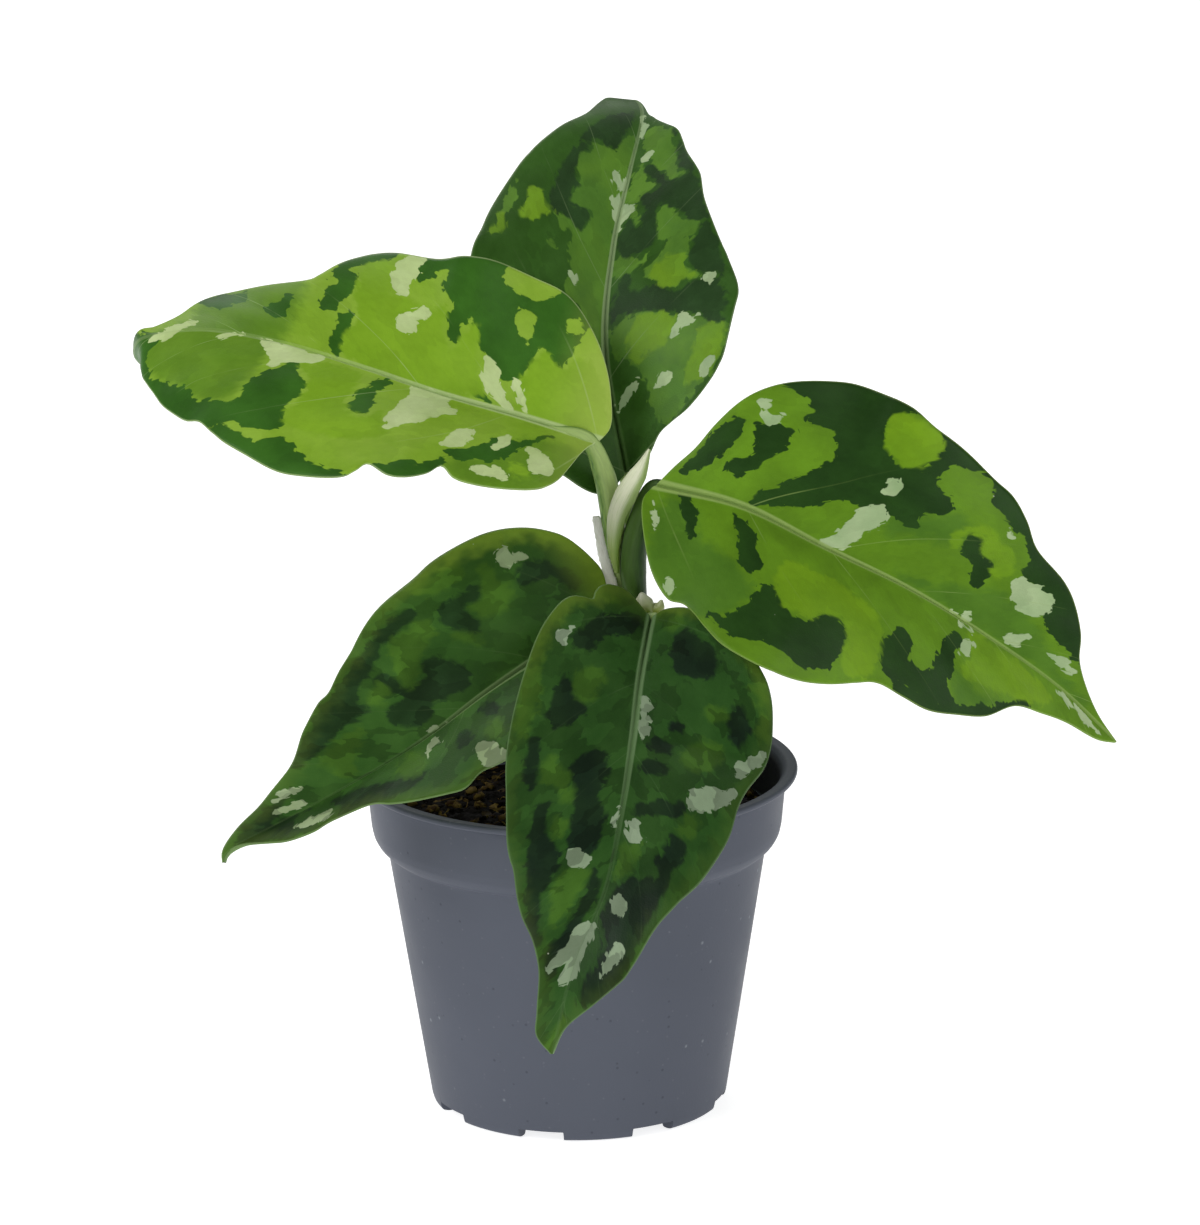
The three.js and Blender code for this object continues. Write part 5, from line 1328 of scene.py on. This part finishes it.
def strip_skin(name, colours, turns, roughness, fibre_scale, edge_share=0.0):
    """Thin plant tissue that changes colour along its length. turns are the two shares of the
    length between which it changes from the first colour to the second, and fine fibres along
    it make streaks of the third. One edge takes the fourth colour, up to the edge's share."""
    material, tree, shader = new_finish(name)
    place = add_node(tree, "Attribute", attribute_name="strip").outputs["Vector"]
    share, side, _ = add_node(tree, "SeparateXYZ", {0: place}).outputs
    stretched = add_node(tree, "VectorMath", {0: place, 1: FIBRE_STRETCH}, operation="MULTIPLY")
    fibres = add_node(tree, "TexNoise", {"Vector": stretched, "Scale": fibre_scale,
                                         "Detail": 4.0})
    shifted = add_node(tree, "Math", {0: fibres, 1: FIBRE_SHIFT, 2: share},
                       operation="MULTIPLY_ADD")
    start, end = (turn + 0.12 for turn in turns)  # half of the fibres' shift
    change = add_node(tree, "MapRange", {0: shifted, 1: start, 2: end},
                      interpolation_type="SMOOTHSTEP")
    streaks = add_node(tree, "MapRange", {0: fibres, 1: 0.52, 2: 0.7, 3: 0.0, 4: 0.6})
    edge = add_node(tree, "MapRange", {0: side, 1: -0.05, 2: -0.75, 3: 0.0, 4: edge_share},
                    interpolation_type="SMOOTHSTEP")
    colour = linear(colours[0])
    for cover, laid in zip([change, streaks, edge], colours[1:]):
        colour = add_node(tree, "Mix", {0: cover, 6: colour, 7: linear(laid)}, data_type="RGBA")
    bump = add_node(tree, "Bump", {"Height": fibres, "Strength": 0.6,
                                   "Distance": FIBRE_RELIEF_MM * MM})
    set_sockets(tree, shader, {"Base Color": colour, "Roughness": roughness, "Normal": bump})
    return material


CREAM = strip_skin("sheath_tissue_waxy_cream", ("#8ea653", "#d8dbbd", "#a9bd78", "#73942c"),
                   (0.15, 0.5), 0.45, 2.0, edge_share=0.85)
PAPERY = strip_skin("sheath_tissue_dry_papery", ("#d6d5c6", "#efefe6", "#b9b5a4", "#d6d5c6"),
                    (0.2, 0.6), 0.8, 3.0)

wing, facts = strip_shape(
    [[5.7, -1.7, 74.5], [5.2, -1.8, 78], [5.6, -2.1, 82.2], [6.9, -3.0, 85.7], [8.8, -3.2, 89],
     [10.2, -2.3, 91.8]], [0.3, 0.85, 1.3, 1.55, 1.2, 0.2], 0.5, (-0.35, -1, 0), 0.35)
build_piece("cream_sheath_wing", wing, "petiole_sheath", CREAM, {"strip": facts})

dry, facts = strip_shape(
    [[6.0, -1.1, 69.5], [4.7, -0.8, 73], [3.7, 0.1, 77], [2.9, 0.5, 81.8]],
    [0.9, 0.9, 0.85, 0.75, 0.6], 0.35, (-0.5, -1, 0), 0.4, fray=0.16, seed=5)
build_piece("dry_sheath_strip", dry, "dry_sheath", PAPERY, {"strip": facts})

# %% Bud
BUD_TURN = (70.0, 72.2)  # heights in mm between which the colour changes


def bud_skin():
    """Young bud tissue: greyish cream at the tip of the ear, and yellow green at the foot, by
    height. It is smooth and a little waxy."""
    material, tree, shader = new_finish("bud_tissue_waxy")
    place = add_node(tree, "TexCoord").outputs["Object"]
    height = add_node(tree, "SeparateXYZ", {0: place}).outputs[2]
    share = add_node(tree, "MapRange", {0: height, 1: BUD_TURN[0] * MM, 2: BUD_TURN[1] * MM})
    tissue = add_node(tree, "Mix", {0: share, 6: linear("#9aa650"), 7: linear("#cdccb8")},
                      data_type="RGBA")
    set_sockets(tree, shader, {"Base Color": tissue, "Roughness": 0.4})
    return material


BUD_SIDES, EAR_STEPS, KNOB_STEPS = 24, 40, 30
ear = tube([[9.2, -2.75, 68.8], [9.3, -3.7, 70.2], [9.0, -4.3, 72.4]], [1.0, 1.6, 1.3, 0.25],
           BUD_SIDES, EAR_STEPS)
knob = tube([[9.4, -3.4, 69.8], [11.2, -3.9, 70.2], [11.7, -4.1, 71.3]], [0.6, 0.85, 0.8, 0.2],
            BUD_SIDES, KNOB_STEPS)
build_piece("side_bud", joined(ear, knob), "bud", bud_skin())

# %% [markdown]
# ## Stem and roots
#
# The cane is as thick as a pencil and leans a little. Every few millimetres a low ring marks
# where a leaf grew, with a thin corky scar. It starts in the soil, where four fleshy roots leave
# it. The rings are part of the radius, so they show in the outline as well as in the light.

# %% Stem
STEM_PATH = [[1.0, 0.6, 31], [2.6, 0.6, 44], [4.9, 0.8, 56], [7.1, 1.1, 64.5], [7.6, 1.2, 68.6]]
STEM_RADII = [3.0, 2.9, 2.7, 2.7, 2.9]
MEAN_RADIUS = 2.8
SCAR_SPACING = 4.6
SCAR_HEIGHT = 0.28
FURROW_DEPTH, FURROW_UP, FURROW_WIDTH = 0.12, 0.75, 0.18
STEM_LENGTH = walk(STEM_PATH, 1)[1]
ROOT_PATHS = [
    [[0.6, 0.5, 32], [-5, -2, 27], [-10.5, -4.5, 17], [-11, -5, 8]],
    [[1.0, 0.4, 32], [6, -4.5, 26], [10.5, -8, 16], [10.5, -9, 7]],
    [[1.0, 0.9, 32], [4.5, 6.5, 27], [7.5, 11.5, 18], [7, 12, 8]],
    [[0.9, 0.6, 32], [0.2, 0.2, 24], [-0.8, 1.4, 15], [-2.5, 1.8, 7]],
]


def stem_section(t, angle):
    """The cane's ring as a share of its radius: a bell-shaped swelling at each scar, a fine dark
    furrow just above it, and shallow ribs around."""
    beat = t * STEM_LENGTH / SCAR_SPACING
    off = (beat - np.round(beat)) * SCAR_SPACING
    ring = SCAR_HEIGHT * np.exp(-off ** 2 / 0.5)
    ring = ring - FURROW_DEPTH * np.exp(-((off - FURROW_UP) / FURROW_WIDTH) ** 2)
    ribs = 0.03 * np.sin(7 * angle + 2 * np.sin(3 * t)) + 0.02 * np.sin(13 * angle + 9 * t)
    return 1 + (ring + ribs) / MEAN_RADIUS


CRACK_STRETCH = (0.35, 2.5, 0.0)  # for mm along and the angle: long fine cracks
CRACK_SCALE = 2.0
CRACK_DEPTH_MM = 0.25
NO_SCAR = 9  # mm from a scar, where there is none


def stem_skin():
    """Cane tissue: olive skin with fine lengthwise cracks, and a corky brown band at each scar.
    attribute "along" holds mm along the cane, the angle, and mm from the nearest scar."""
    material, tree, shader = new_finish("cane_tissue_corky_scars")
    place = add_node(tree, "Attribute", attribute_name="along").outputs["Vector"]
    from_scar = add_node(tree, "SeparateXYZ", {0: place}).outputs[2]
    stretched = add_node(tree, "VectorMath", {0: place, 1: CRACK_STRETCH}, operation="MULTIPLY")
    cracks = add_node(tree, "TexNoise", {"Vector": stretched, "Scale": CRACK_SCALE, "Detail": 5.0})
    skin = add_node(tree, "Mix", {0: cracks, 6: linear("#46542c"), 7: linear("#8b955c")},
                    data_type="RGBA")
    scar = add_node(tree, "MapRange", {0: from_scar, 1: 0.3, 2: 0.95, 3: 0.85, 4: 0.0},
                    interpolation_type="SMOOTHSTEP")
    corky = add_node(tree, "Mix", {0: scar, 6: skin, 7: linear("#6b5a3c")}, data_type="RGBA")
    bump = add_node(tree, "Bump", {"Height": cracks, "Strength": 0.7,
                                   "Distance": CRACK_DEPTH_MM * MM})
    set_sockets(tree, shader, {"Base Color": corky, "Roughness": 0.6, "Normal": bump})
    return material


CANE_SIDES, CANE_STEPS = 48, 170
ROOT_SIDES, ROOT_STEPS = 14, 40
cane = tube(STEM_PATH, STEM_RADII, CANE_SIDES, CANE_STEPS, section=stem_section)
t, angle = np.meshgrid(np.linspace(0, 1, CANE_STEPS),
                       np.linspace(0, 2 * np.pi, CANE_SIDES, endpoint=False), indexing="ij")
beat = t * STEM_LENGTH / SCAR_SPACING
scar_gap = np.abs(beat - np.round(beat)) * SCAR_SPACING
facts = np.stack([t * STEM_LENGTH, angle, scar_gap], -1).reshape(-1, 3)
facts = np.vstack([facts, [[0, 0, NO_SCAR], [STEM_LENGTH, 0, NO_SCAR]]])
roots = [tube(path, [1.2, 1.05, 0.8, 0.6], ROOT_SIDES, ROOT_STEPS) for path in ROOT_PATHS]
root_facts = np.tile([[0, 0, NO_SCAR]], (sum(len(points) for points, _ in roots), 1))
build_piece("cane_and_roots", joined(cane, *roots), "stem", stem_skin(),
            {"along": np.vstack([facts, root_facts])})

# %% [markdown]
# ## Pot
#
# The pot is moulded in one shot from grey-blue plastic: a tapered cup with a collar, a flat lip,
# a foot ring with eight notches and a floor with four drain holes. A moulded pot has no truly
# sharp corner, so each corner of the turned profile is rounded by a third of a millimetre, and
# those roundings catch the light along the lip and the foot. The notches are made by lifting the
# foot ring's lowest rows, and the drain holes are cut out with four cylinders.

# %% Turned shapes
def rounded_profile(corners, cut, longest):
    """A profile with its corners rounded. Each inner corner C becomes the curve (1-s)^2 A +
    2 s (1-s) C + s^2 B, where A and B lie on its two sides at the distance cut, or at 0.45 of a
    shorter side. Long straight runs then get more points, at most the longest step apart."""
    p = np.asarray(corners, float)
    before, after = p[:-2] - p[1:-1], p[2:] - p[1:-1]
    shorter = np.minimum(*(np.linalg.norm(v, axis=1) for v in (before, after)))
    reach = np.minimum(cut, 0.45 * shorter)
    start = p[1:-1] + unit(before) * reach[:, None]
    end = p[1:-1] + unit(after) * reach[:, None]
    s = np.linspace(0, 1, 5)[None, :, None]
    curve = (1 - s) ** 2 * start[:, None] + 2 * s * (1 - s) * p[1:-1, None] + s ** 2 * end[:, None]
    line = np.vstack([p[:1], curve.reshape(-1, 2), p[-1:]])
    run = np.r_[0, np.cumsum(np.linalg.norm(np.diff(line, axis=0), axis=1))]
    gaps = np.diff(run)
    pieces = np.maximum(1, np.ceil(gaps / longest)).astype(int)
    start_of = np.repeat(run[:-1], pieces)
    index = np.arange(pieces.sum()) - np.repeat(np.cumsum(pieces) - pieces, pieces)
    places = np.r_[start_of + index * np.repeat(gaps / pieces, pieces), run[-1]]
    return lookup(places, run, line)


def turned(profile, angles):
    """A profile of (radius, height) turned about the vertical axis. It starts and ends on the
    axis, where single points close it. A ring holds (r cos angle, r sin angle, height). Gives the
    rings as a grid, and a function that makes points and faces of any grid like it."""
    r, z = profile[1:-1].T[:, :, None]
    rings = np.stack([r * np.cos(angles), r * np.sin(angles), z + 0 * angles], -1)
    rows, sides = rings.shape[:2]
    j = np.arange(sides)
    k = (j + 1) % sides
    foot = np.full(sides, rows * sides)
    last = (rows - 1) * sides
    faces = [grid_faces(rows, sides, wrap=True), np.stack([foot, k, j], -1),
             np.stack([foot + 1, last + j, last + k], -1)]

    def close(grid):
        low = [0, 0, profile[0, 1]]
        high = [0, 0, grid[-1, :, 2].mean()]
        return np.vstack([grid.reshape(-1, 3), [low, high]]), faces

    return rings, close


# %% Pot profile
POT_PROFILE = [  # radius and height in mm, from the middle of the underside
    [0, 0], [9, 0], [9.4, 1.2], [17.6, 1.2], [18, 0], [19.1, 0], [19.95, 0.25], [20.2, 1.1],
    [25.73, 36.2], [26.45, 36.6], [27.1, 37.2], [27.6, 38.1], [27.85, 39.3], [28.5, 46.1],
    [29.8, 46.1], [30, 46.35], [30, 46.75], [29.75, 47], [28.5, 47], [28, 46.5], [27.5, 45.4],
    [27.0, 39.8], [26.6, 38.6], [24.9, 36.6], [19.2, 3], [18.6, 2.4], [0, 2.4],
]
SECTORS = 360
NOTCHES = 8
NOTCH_WIDTH = 6.3
NOTCH_HEIGHT = 1.45
NOTCH_FIRST = -105.0  # degrees
NOTCH_FROM = 17.4  # radius at which the notches start
NOTCH_SLOPE = 0.015  # share of half a notch over which its side rises
FOOT_RADIUS = 20.2
CORNER_CUT = 0.33  # where a corner's rounding starts, in mm from it
LONGEST_STEP = 1.6
DRAINS = 4
DRAIN_RADIUS = 2.2
DRAIN_RING = 14.2

notch_angles = np.radians(NOTCH_FIRST + np.arange(NOTCHES) * 360 / NOTCHES)
half_notch = NOTCH_WIDTH / 2 / FOOT_RADIUS
sides = np.array([-1 - NOTCH_SLOPE, -1 + NOTCH_SLOPE, 1 - NOTCH_SLOPE, 1 + NOTCH_SLOPE])
edges = (notch_angles[:, None] + half_notch * sides).ravel()
even = np.linspace(0, 2 * np.pi, SECTORS, endpoint=False)
angles = np.unique(np.round(np.concatenate([even, edges % (2 * np.pi)]), 5))
pot_rings, close_pot = turned(rounded_profile(POT_PROFILE, CORNER_CUT, LONGEST_STEP), angles)
off_notch = np.abs(np.angle(np.exp(1j * (angles[:, None] - notch_angles)))).min(1)
window = off_notch < half_notch
radius = np.hypot(pot_rings[..., 0], pot_rings[..., 1])
in_foot = (radius > NOTCH_FROM) & (pot_rings[..., 2] < NOTCH_HEIGHT)
outside = np.arange(len(pot_rings))[:, None] < len(pot_rings) // 2
pot_rings[..., 2] = np.where(in_foot & window & outside, NOTCH_HEIGHT, pot_rings[..., 2])
print("pot rings", pot_rings.shape)

# %% [markdown]
# The plastic is polypropylene with a little recycled stuff in it. Its skin copies the mould's
# fine matte blasting, so it shines softly, and pale and dark specks of a few tenths of a
# millimetre show in it. Faint upright flow marks run from the foot, where it was filled.

# %% Pot plastic
CLOUDS_PER_METRE = 60.0
# Specks: cells for each metre, colour, and share of the cells without a speck.
SPECKS = ((1500.0, "#676b74", 0.93), (1150.0, "#42464f", 0.95), (900.0, "#8b9198", 0.985))
SPECK_SIZE = (0.12, 0.3)  # shares of a cell between which a speck fades
WALL_LEAN = -0.085  # the inner wall's radius falls by this for each mm of height
PAINTED_SHADE_RADIUS = (23.7, 24.05)  # mm at height 0 between which the painted shade ends, in the wall
PAINTED_SHADE_FROM = (39.6, 39.9)  # mm of height between which it starts
SMEARS_PER_METRE = 140.0
MOULD_GRAINS_PER_METRE = 3200.0
MOULD_DEPTH_MM = 0.04
FLOW_STRETCH = (1.0, 1.0, 0.06)
FLOWS_PER_METRE = 170.0
FLOW_DEPTH_MM = 0.06


def inner_wall_painted_shade(tree, place):
    """How much of the wall is darkened by painted shade: inside the pot, above the potting mix.
    The wall leans, so the radius plus the lean times the height tells inside from outside."""
    x, y, height = add_node(tree, "SeparateXYZ", {0: place}).outputs
    flat = add_node(tree, "CombineXYZ", {0: x, 1: y})
    radius = add_node(tree, "VectorMath", {0: flat}, operation="LENGTH")
    inward = add_node(tree, "Math", {0: height, 1: WALL_LEAN, 2: radius},
                      operation="MULTIPLY_ADD")
    inner = add_node(tree, "MapRange", {0: inward, 1: PAINTED_SHADE_RADIUS[0] * MM, 2: PAINTED_SHADE_RADIUS[1] * MM,
                                        3: 0.75, 4: 0.0})
    above = add_node(tree, "MapRange", {0: height, 1: PAINTED_SHADE_FROM[0] * MM, 2: PAINTED_SHADE_FROM[1] * MM})
    return add_node(tree, "Math", {0: inner, 1: above}, operation="MULTIPLY")


def pot_plastic():
    """Satin polypropylene. Three cell patterns give pale and dark specks, where the distance to a
    cell's middle is small and the cell was picked. Noise makes the gloss uneven, and very fine
    noise gives the skin of the mould."""
    material, tree, shader = new_finish("polypropylene_satin_moulded_recycled")
    place = add_node(tree, "TexCoord").outputs["Object"]
    clouds = add_node(tree, "TexNoise", {"Vector": place, "Scale": CLOUDS_PER_METRE,
                                         "Detail": 4.0})
    colour = add_node(tree, "Mix", {0: clouds, 6: linear("#545862"), 7: linear("#5b5f6a")},
                      data_type="RGBA")
    for scale, tint, least in SPECKS:
        cells = add_node(tree, "TexVoronoi", {"Vector": place, "Scale": scale})
        pick = add_node(tree, "SeparateColor", {0: cells.outputs["Color"]})
        picked = add_node(tree, "Math", {0: pick, 1: least}, operation="GREATER_THAN")
        spot = add_node(tree, "MapRange", {0: cells, 1: SPECK_SIZE[0], 2: SPECK_SIZE[1], 3: 0.6,
                                           4: 0.0})
        share = add_node(tree, "Math", {0: spot, 1: picked}, operation="MULTIPLY")
        colour = add_node(tree, "Mix", {0: share, 6: colour, 7: linear(tint)}, data_type="RGBA")
    # Painted shade: the inner wall above the potting mix is mixed towards a near black brown, as
    # it stands in shadow.
    colour = add_node(tree, "Mix", {0: inner_wall_painted_shade(tree, place), 6: colour, 7: linear("#1b1714")},
                      data_type="RGBA")
    smears = add_node(tree, "TexNoise", {"Vector": place, "Scale": SMEARS_PER_METRE,
                                         "Detail": 3.0})
    gloss = add_node(tree, "MapRange", {0: smears, 1: 0.3, 2: 0.7, 3: 0.38, 4: 0.48})
    grains = add_node(tree, "TexNoise", {"Vector": place, "Scale": MOULD_GRAINS_PER_METRE,
                                         "Detail": 2.0})
    fine = add_node(tree, "Bump", {"Height": grains, "Strength": 0.35,
                                   "Distance": MOULD_DEPTH_MM * MM})
    upright = add_node(tree, "VectorMath", {0: place, 1: FLOW_STRETCH}, operation="MULTIPLY")
    flow = add_node(tree, "TexNoise", {"Vector": upright, "Scale": FLOWS_PER_METRE, "Detail": 2.0})
    bump = add_node(tree, "Bump", {"Height": flow, "Strength": 0.3,
                                   "Distance": FLOW_DEPTH_MM * MM, "Normal": fine})
    set_sockets(tree, shader, {"Base Color": colour, "Roughness": gloss, "IOR": 1.49,
                               "Specular IOR Level": 0.05, "Normal": bump})
    return material


pot = build_piece("nursery_pot", close_pot(pot_rings), "pot", pot_plastic())

# %% Drain holes
CUTTER_SIDES = 40
CUTTER_HEIGHTS = (0.4, 1.8, 3.2)
SHARP_ANGLE = math.radians(32)  # edges that turn more than this stay sharp in the light


def drill(piece, cutter_shape):
    """Cuts a shape out of a piece and keeps the result as the piece's own mesh."""
    points, faces = cutter_shape
    mesh = bpy.data.meshes.new("cutter")
    mesh.from_pydata((points * MM).tolist(), [], [f for part in faces for f in part.tolist()])
    cutter = bpy.data.objects.new("cutter", mesh)
    bpy.context.scene.collection.objects.link(cutter)
    cut = piece.modifiers.new("cut", "BOOLEAN")
    cut.operation, cut.object, cut.solver = "DIFFERENCE", cutter, "EXACT"
    done = piece.evaluated_get(bpy.context.evaluated_depsgraph_get())
    whole, drilled = piece.data, bpy.data.meshes.new_from_object(done)
    piece.modifiers.clear()
    piece.data = drilled
    bpy.data.objects.remove(cutter)
    bpy.data.meshes.remove(mesh)
    bpy.data.meshes.remove(whole)


drain_angles = np.radians(45 + np.arange(DRAINS) * 360 / DRAINS)
drains = [tube([[DRAIN_RING * c, DRAIN_RING * s, height] for height in CUTTER_HEIGHTS],
               [DRAIN_RADIUS] * 2, CUTTER_SIDES, len(CUTTER_HEIGHTS))
          for c, s in zip(np.cos(drain_angles), np.sin(drain_angles))]
drill(pot, joined(*drains))
pot.data.set_sharp_from_angle(angle=SHARP_ANGLE)
print("pot faces after drilling", len(pot.data.polygons))

# %% [markdown]
# ## Potting mix
#
# Dark peat with bark crumbs fills the pot to a few millimetres under its collar. From the side
# one sees a rough, nearly black strip with brown bits. A flat disc with a bump texture would look
# painted where it meets the wall. So the surface is a fine polar grid raised by noise at four
# scales, with some hundred loose crumbs and thin root fibres on top.

# %% Lumpy ground
LATTICE = 80  # random heights along each side of the square lattice


def lumps(x, y, spacing, seed):
    """Smooth random hills: random heights from -1 to 1 on a square lattice, and between four of
    them a blend by 3s^2 - 2s^3 in each direction."""
    table = np.random.default_rng(seed).uniform(-1, 1, (LATTICE, LATTICE))
    u, v = x / spacing + LATTICE / 2, y / spacing + LATTICE / 2
    i, j = np.floor(u).astype(int), np.floor(v).astype(int)
    fu, fv = smooth(u - i, 0, 1), smooth(v - j, 0, 1)
    i, j = i % (LATTICE - 1), j % (LATTICE - 1)
    low = table[i, j] * (1 - fu) + table[i + 1, j] * fu
    high = table[i, j + 1] * (1 - fu) + table[i + 1, j + 1] * fu
    return low * (1 - fv) + high * fv


SOIL_LEVEL = 39.6
SOIL_DOME = 1.4
SOIL_RADIUS = 26.5
SOIL_PROFILE = [[0, 2.7], [18.2, 2.7], [18.75, 3.1], [24.4, 36.4], [25.9, 38.3], [26.3, 39.0],
                [SOIL_RADIUS, SOIL_LEVEL]]
HILLS = ((0.5, 7, 11), (0.42, 2.6, 12), (0.3, 1.1, 13))  # height in mm, spacing in mm, seed
RIDGES = (0.34, 0.8, 14)
CALM_EDGE = 0.4  # share by which the noise is less at the wall


def ground(x, y):
    """Height of the peat: its level, a low dome that falls with the square of the radius, and
    noise of four sizes. The larger ones are as hills, and the finest as sharp ridges, by one
    less its absolute value, which makes it look crumbled."""
    share = np.hypot(x, y) / SOIL_RADIUS
    rough = sum(height * lumps(x, y, spacing, seed) for height, spacing, seed in HILLS)
    height, spacing, seed = RIDGES
    crumbly = height * (0.5 - np.abs(lumps(x, y, spacing, seed)))
    dome = SOIL_DOME * (1 - share ** 2)
    return SOIL_LEVEL + dome + (rough + crumbly) * (1 - CALM_EDGE * share ** 4)


print("ground in the middle", round(float(ground(np.array(0.0), np.array(0.0))), 2), "mm")

# %% Peat surface
SOIL_SECTORS, SOIL_ROWS = 420, 125
INNERMOST = 0.25  # radius of the last ring, in mm
inward = np.linspace(SOIL_RADIUS, INNERMOST, SOIL_ROWS)
edge_rows = rounded_profile(SOIL_PROFILE, 0.1, 3.0)
top_rows = np.stack([inward[1:], np.full(len(inward) - 1, SOIL_LEVEL)], -1)
soil_profile = np.vstack([edge_rows, top_rows, [[0, SOIL_LEVEL]]])
around = np.linspace(0, 2 * np.pi, SOIL_SECTORS, endpoint=False)
soil_rings, close_soil = turned(soil_profile, around)
on_top = np.arange(len(soil_rings))[:, None] >= len(edge_rows) - 2
raised = ground(soil_rings[..., 0], soil_rings[..., 1])
soil_rings[..., 2] = np.where(on_top, raised, soil_rings[..., 2])

# %% [markdown]
# Peat is nearly black while it is moist, and each bit of bark or fibre in it has its own brown.
# The material gives every grain a tone by a cell pattern, and the loose crumbs carry their own
# tone with them. Moist peat shines a little in places, so the roughness varies with the grains.

# %% Peat finish
GRAINS_PER_METRE = 1600.0  # grains of 0.6 mm
BITS_PER_METRE = 700.0  # bits of 1.4 mm
FUZZ_PER_METRE = 2500.0
FUZZ_DEPTH_MM = 0.2


def peat_finish(name, tone_attribute):
    """Peat: a dark ground, browner where the tone is high. The tone comes from cells of 1.4 mm,
    or from the piece's own attribute, and cells of 0.6 mm vary the colours a little."""
    material, tree, shader = new_finish(name)
    place = add_node(tree, "TexCoord").outputs["Object"]
    grains = add_node(tree, "TexVoronoi", {"Vector": place, "Scale": GRAINS_PER_METRE})
    bits = add_node(tree, "TexVoronoi", {"Vector": place, "Scale": BITS_PER_METRE})
    grain, hue, _ = add_node(tree, "SeparateColor", {0: grains.outputs["Color"]}).outputs
    tone, wetness, _ = add_node(tree, "SeparateColor", {0: bits.outputs["Color"]}).outputs
    if tone_attribute:
        tone = add_node(tree, "Attribute", attribute_name="tone").outputs["Fac"]
    dark = add_node(tree, "Mix", {0: grain, 6: linear("#050403"), 7: linear("#0d0a07")},
                    data_type="RGBA")
    brown = add_node(tree, "Mix", {0: hue, 6: linear("#2c1a0f"), 7: linear("#6b5a2a")},
                     data_type="RGBA")
    share = add_node(tree, "MapRange", {0: tone, 1: 0.78, 2: 1.0, 3: 0.0, 4: 0.85})
    mixed = add_node(tree, "Mix", {0: share, 6: dark, 7: brown}, data_type="RGBA")
    wet = add_node(tree, "MapRange", {0: wetness, 3: 0.7, 4: 1.0})
    fuzz = add_node(tree, "TexNoise", {"Vector": place, "Scale": FUZZ_PER_METRE, "Detail": 3.0})
    bump = add_node(tree, "Bump", {"Height": fuzz, "Strength": 0.9,
                                   "Distance": FUZZ_DEPTH_MM * MM})
    set_sockets(tree, shader, {"Base Color": mixed, "Roughness": wet, "Normal": bump,
                               "Specular IOR Level": 0.04})
    return material


PEAT = peat_finish("peat_moist_loose", False)
BARK = peat_finish("bark_crumbs_fibrous", True)
build_piece("peat_surface", close_soil(soil_rings), "soil", PEAT)

# %% Crumbs and fibres
CRUMBS = 900
CRUMB_SIDES = 7
CRUMB_ROWS = 5
LEAST_RADIUS, MORE_RADIUS = 0.22, 0.75
FROM_WALL = 0.3  # mm that a crumb keeps from the soil's edge
BARK_FROM = (0.6, 0.75)  # radii in mm between which a crumb counts as bark
BARK_TONE = 0.93
random = np.random.default_rng(21)


def crumb_shapes(count):
    """Small rough lumps: each is a ball of a few dozen faces whose points move in or out at
    random, stretched by its own three factors, turned by its own angle, and laid on the ground.
    The larger ones are bark and so brown, which a high tone stands for.
    A ball's rings hold (sin h cos a, sin h sin a, -cos h)."""
    h = np.linspace(0, np.pi, CRUMB_ROWS + 2)[1:-1]
    a = np.linspace(0, 2 * np.pi, CRUMB_SIDES, endpoint=False)
    profile = np.vstack([[0, -1], np.stack([np.sin(h), -np.cos(h)], -1), [0, 1]])
    rings, close = turned(profile, a)
    ball, faces = close(rings)
    radius = LEAST_RADIUS + MORE_RADIUS * random.uniform(0, 1, count) ** 3
    reach = (SOIL_RADIUS - radius - FROM_WALL) * np.sqrt(random.uniform(0, 1, count))
    around = random.uniform(0, 2 * np.pi, count)
    x, y = reach * np.cos(around), reach * np.sin(around)
    stretch = np.stack([radius * random.uniform(0.9, 1.5, count),
                        radius * random.uniform(0.6, 0.9, count),
                        radius * random.uniform(0.45, 0.75, count)], -1)
    ragged = random.uniform(0.72, 1.2, (count, len(ball), 1))
    points = ball[None] * ragged * stretch[:, None]
    angle = random.uniform(0, 2 * np.pi, count)[:, None]
    c, s = np.cos(angle), np.sin(angle)
    points = np.stack([points[..., 0] * c - points[..., 1] * s,
                       points[..., 0] * s + points[..., 1] * c, points[..., 2]], -1)
    points = points + np.stack([x, y, ground(x, y) + 0.25 * radius], -1)[:, None]
    starts = np.arange(count)[:, None, None] * len(ball)
    all_faces = [(f[None] + starts).reshape(-1, f.shape[1]) for f in faces]
    tone = np.maximum(random.uniform(0, 1, count), BARK_TONE * smooth(radius, *BARK_FROM))
    tone = np.repeat(tone, len(ball))
    return (points.reshape(-1, 3), all_faces), tone


crumbs, tone = crumb_shapes(CRUMBS)
build_piece("bark_crumbs", crumbs, "soil", BARK, {"tone": tone})

FIBRES = 70
FIBRE_REACH = 23.5  # mm from the axis
FIBRE_TONE = 0.97
reach = FIBRE_REACH * np.sqrt(random.uniform(0, 1, FIBRES))
around = random.uniform(0, 2 * np.pi, FIBRES)
lies = random.uniform(0, 2 * np.pi, FIBRES)
span = random.uniform(0.8, 2.6, FIBRES)
fibres = []
for r, place, way, half in zip(reach, around, lies, span):
    s = np.linspace(-1, 1, 5)
    x = r * math.cos(place) + half * s * math.cos(way) - 0.4 * s * s * math.sin(way)
    y = r * math.sin(place) + half * s * math.sin(way) + 0.4 * s * s * math.cos(way)
    z = ground(x, y) + 0.12 + 0.25 * (1 - s * s)
    fibres.append(tube(np.stack([x, y, z], -1), [0.05, 0.1, 0.06], 5, 12))
fibre_shape = joined(*fibres)
build_piece("peat_fibres", fibre_shape, "soil", BARK,
            {"tone": np.full(len(fibre_shape[0]), FIBRE_TONE)})
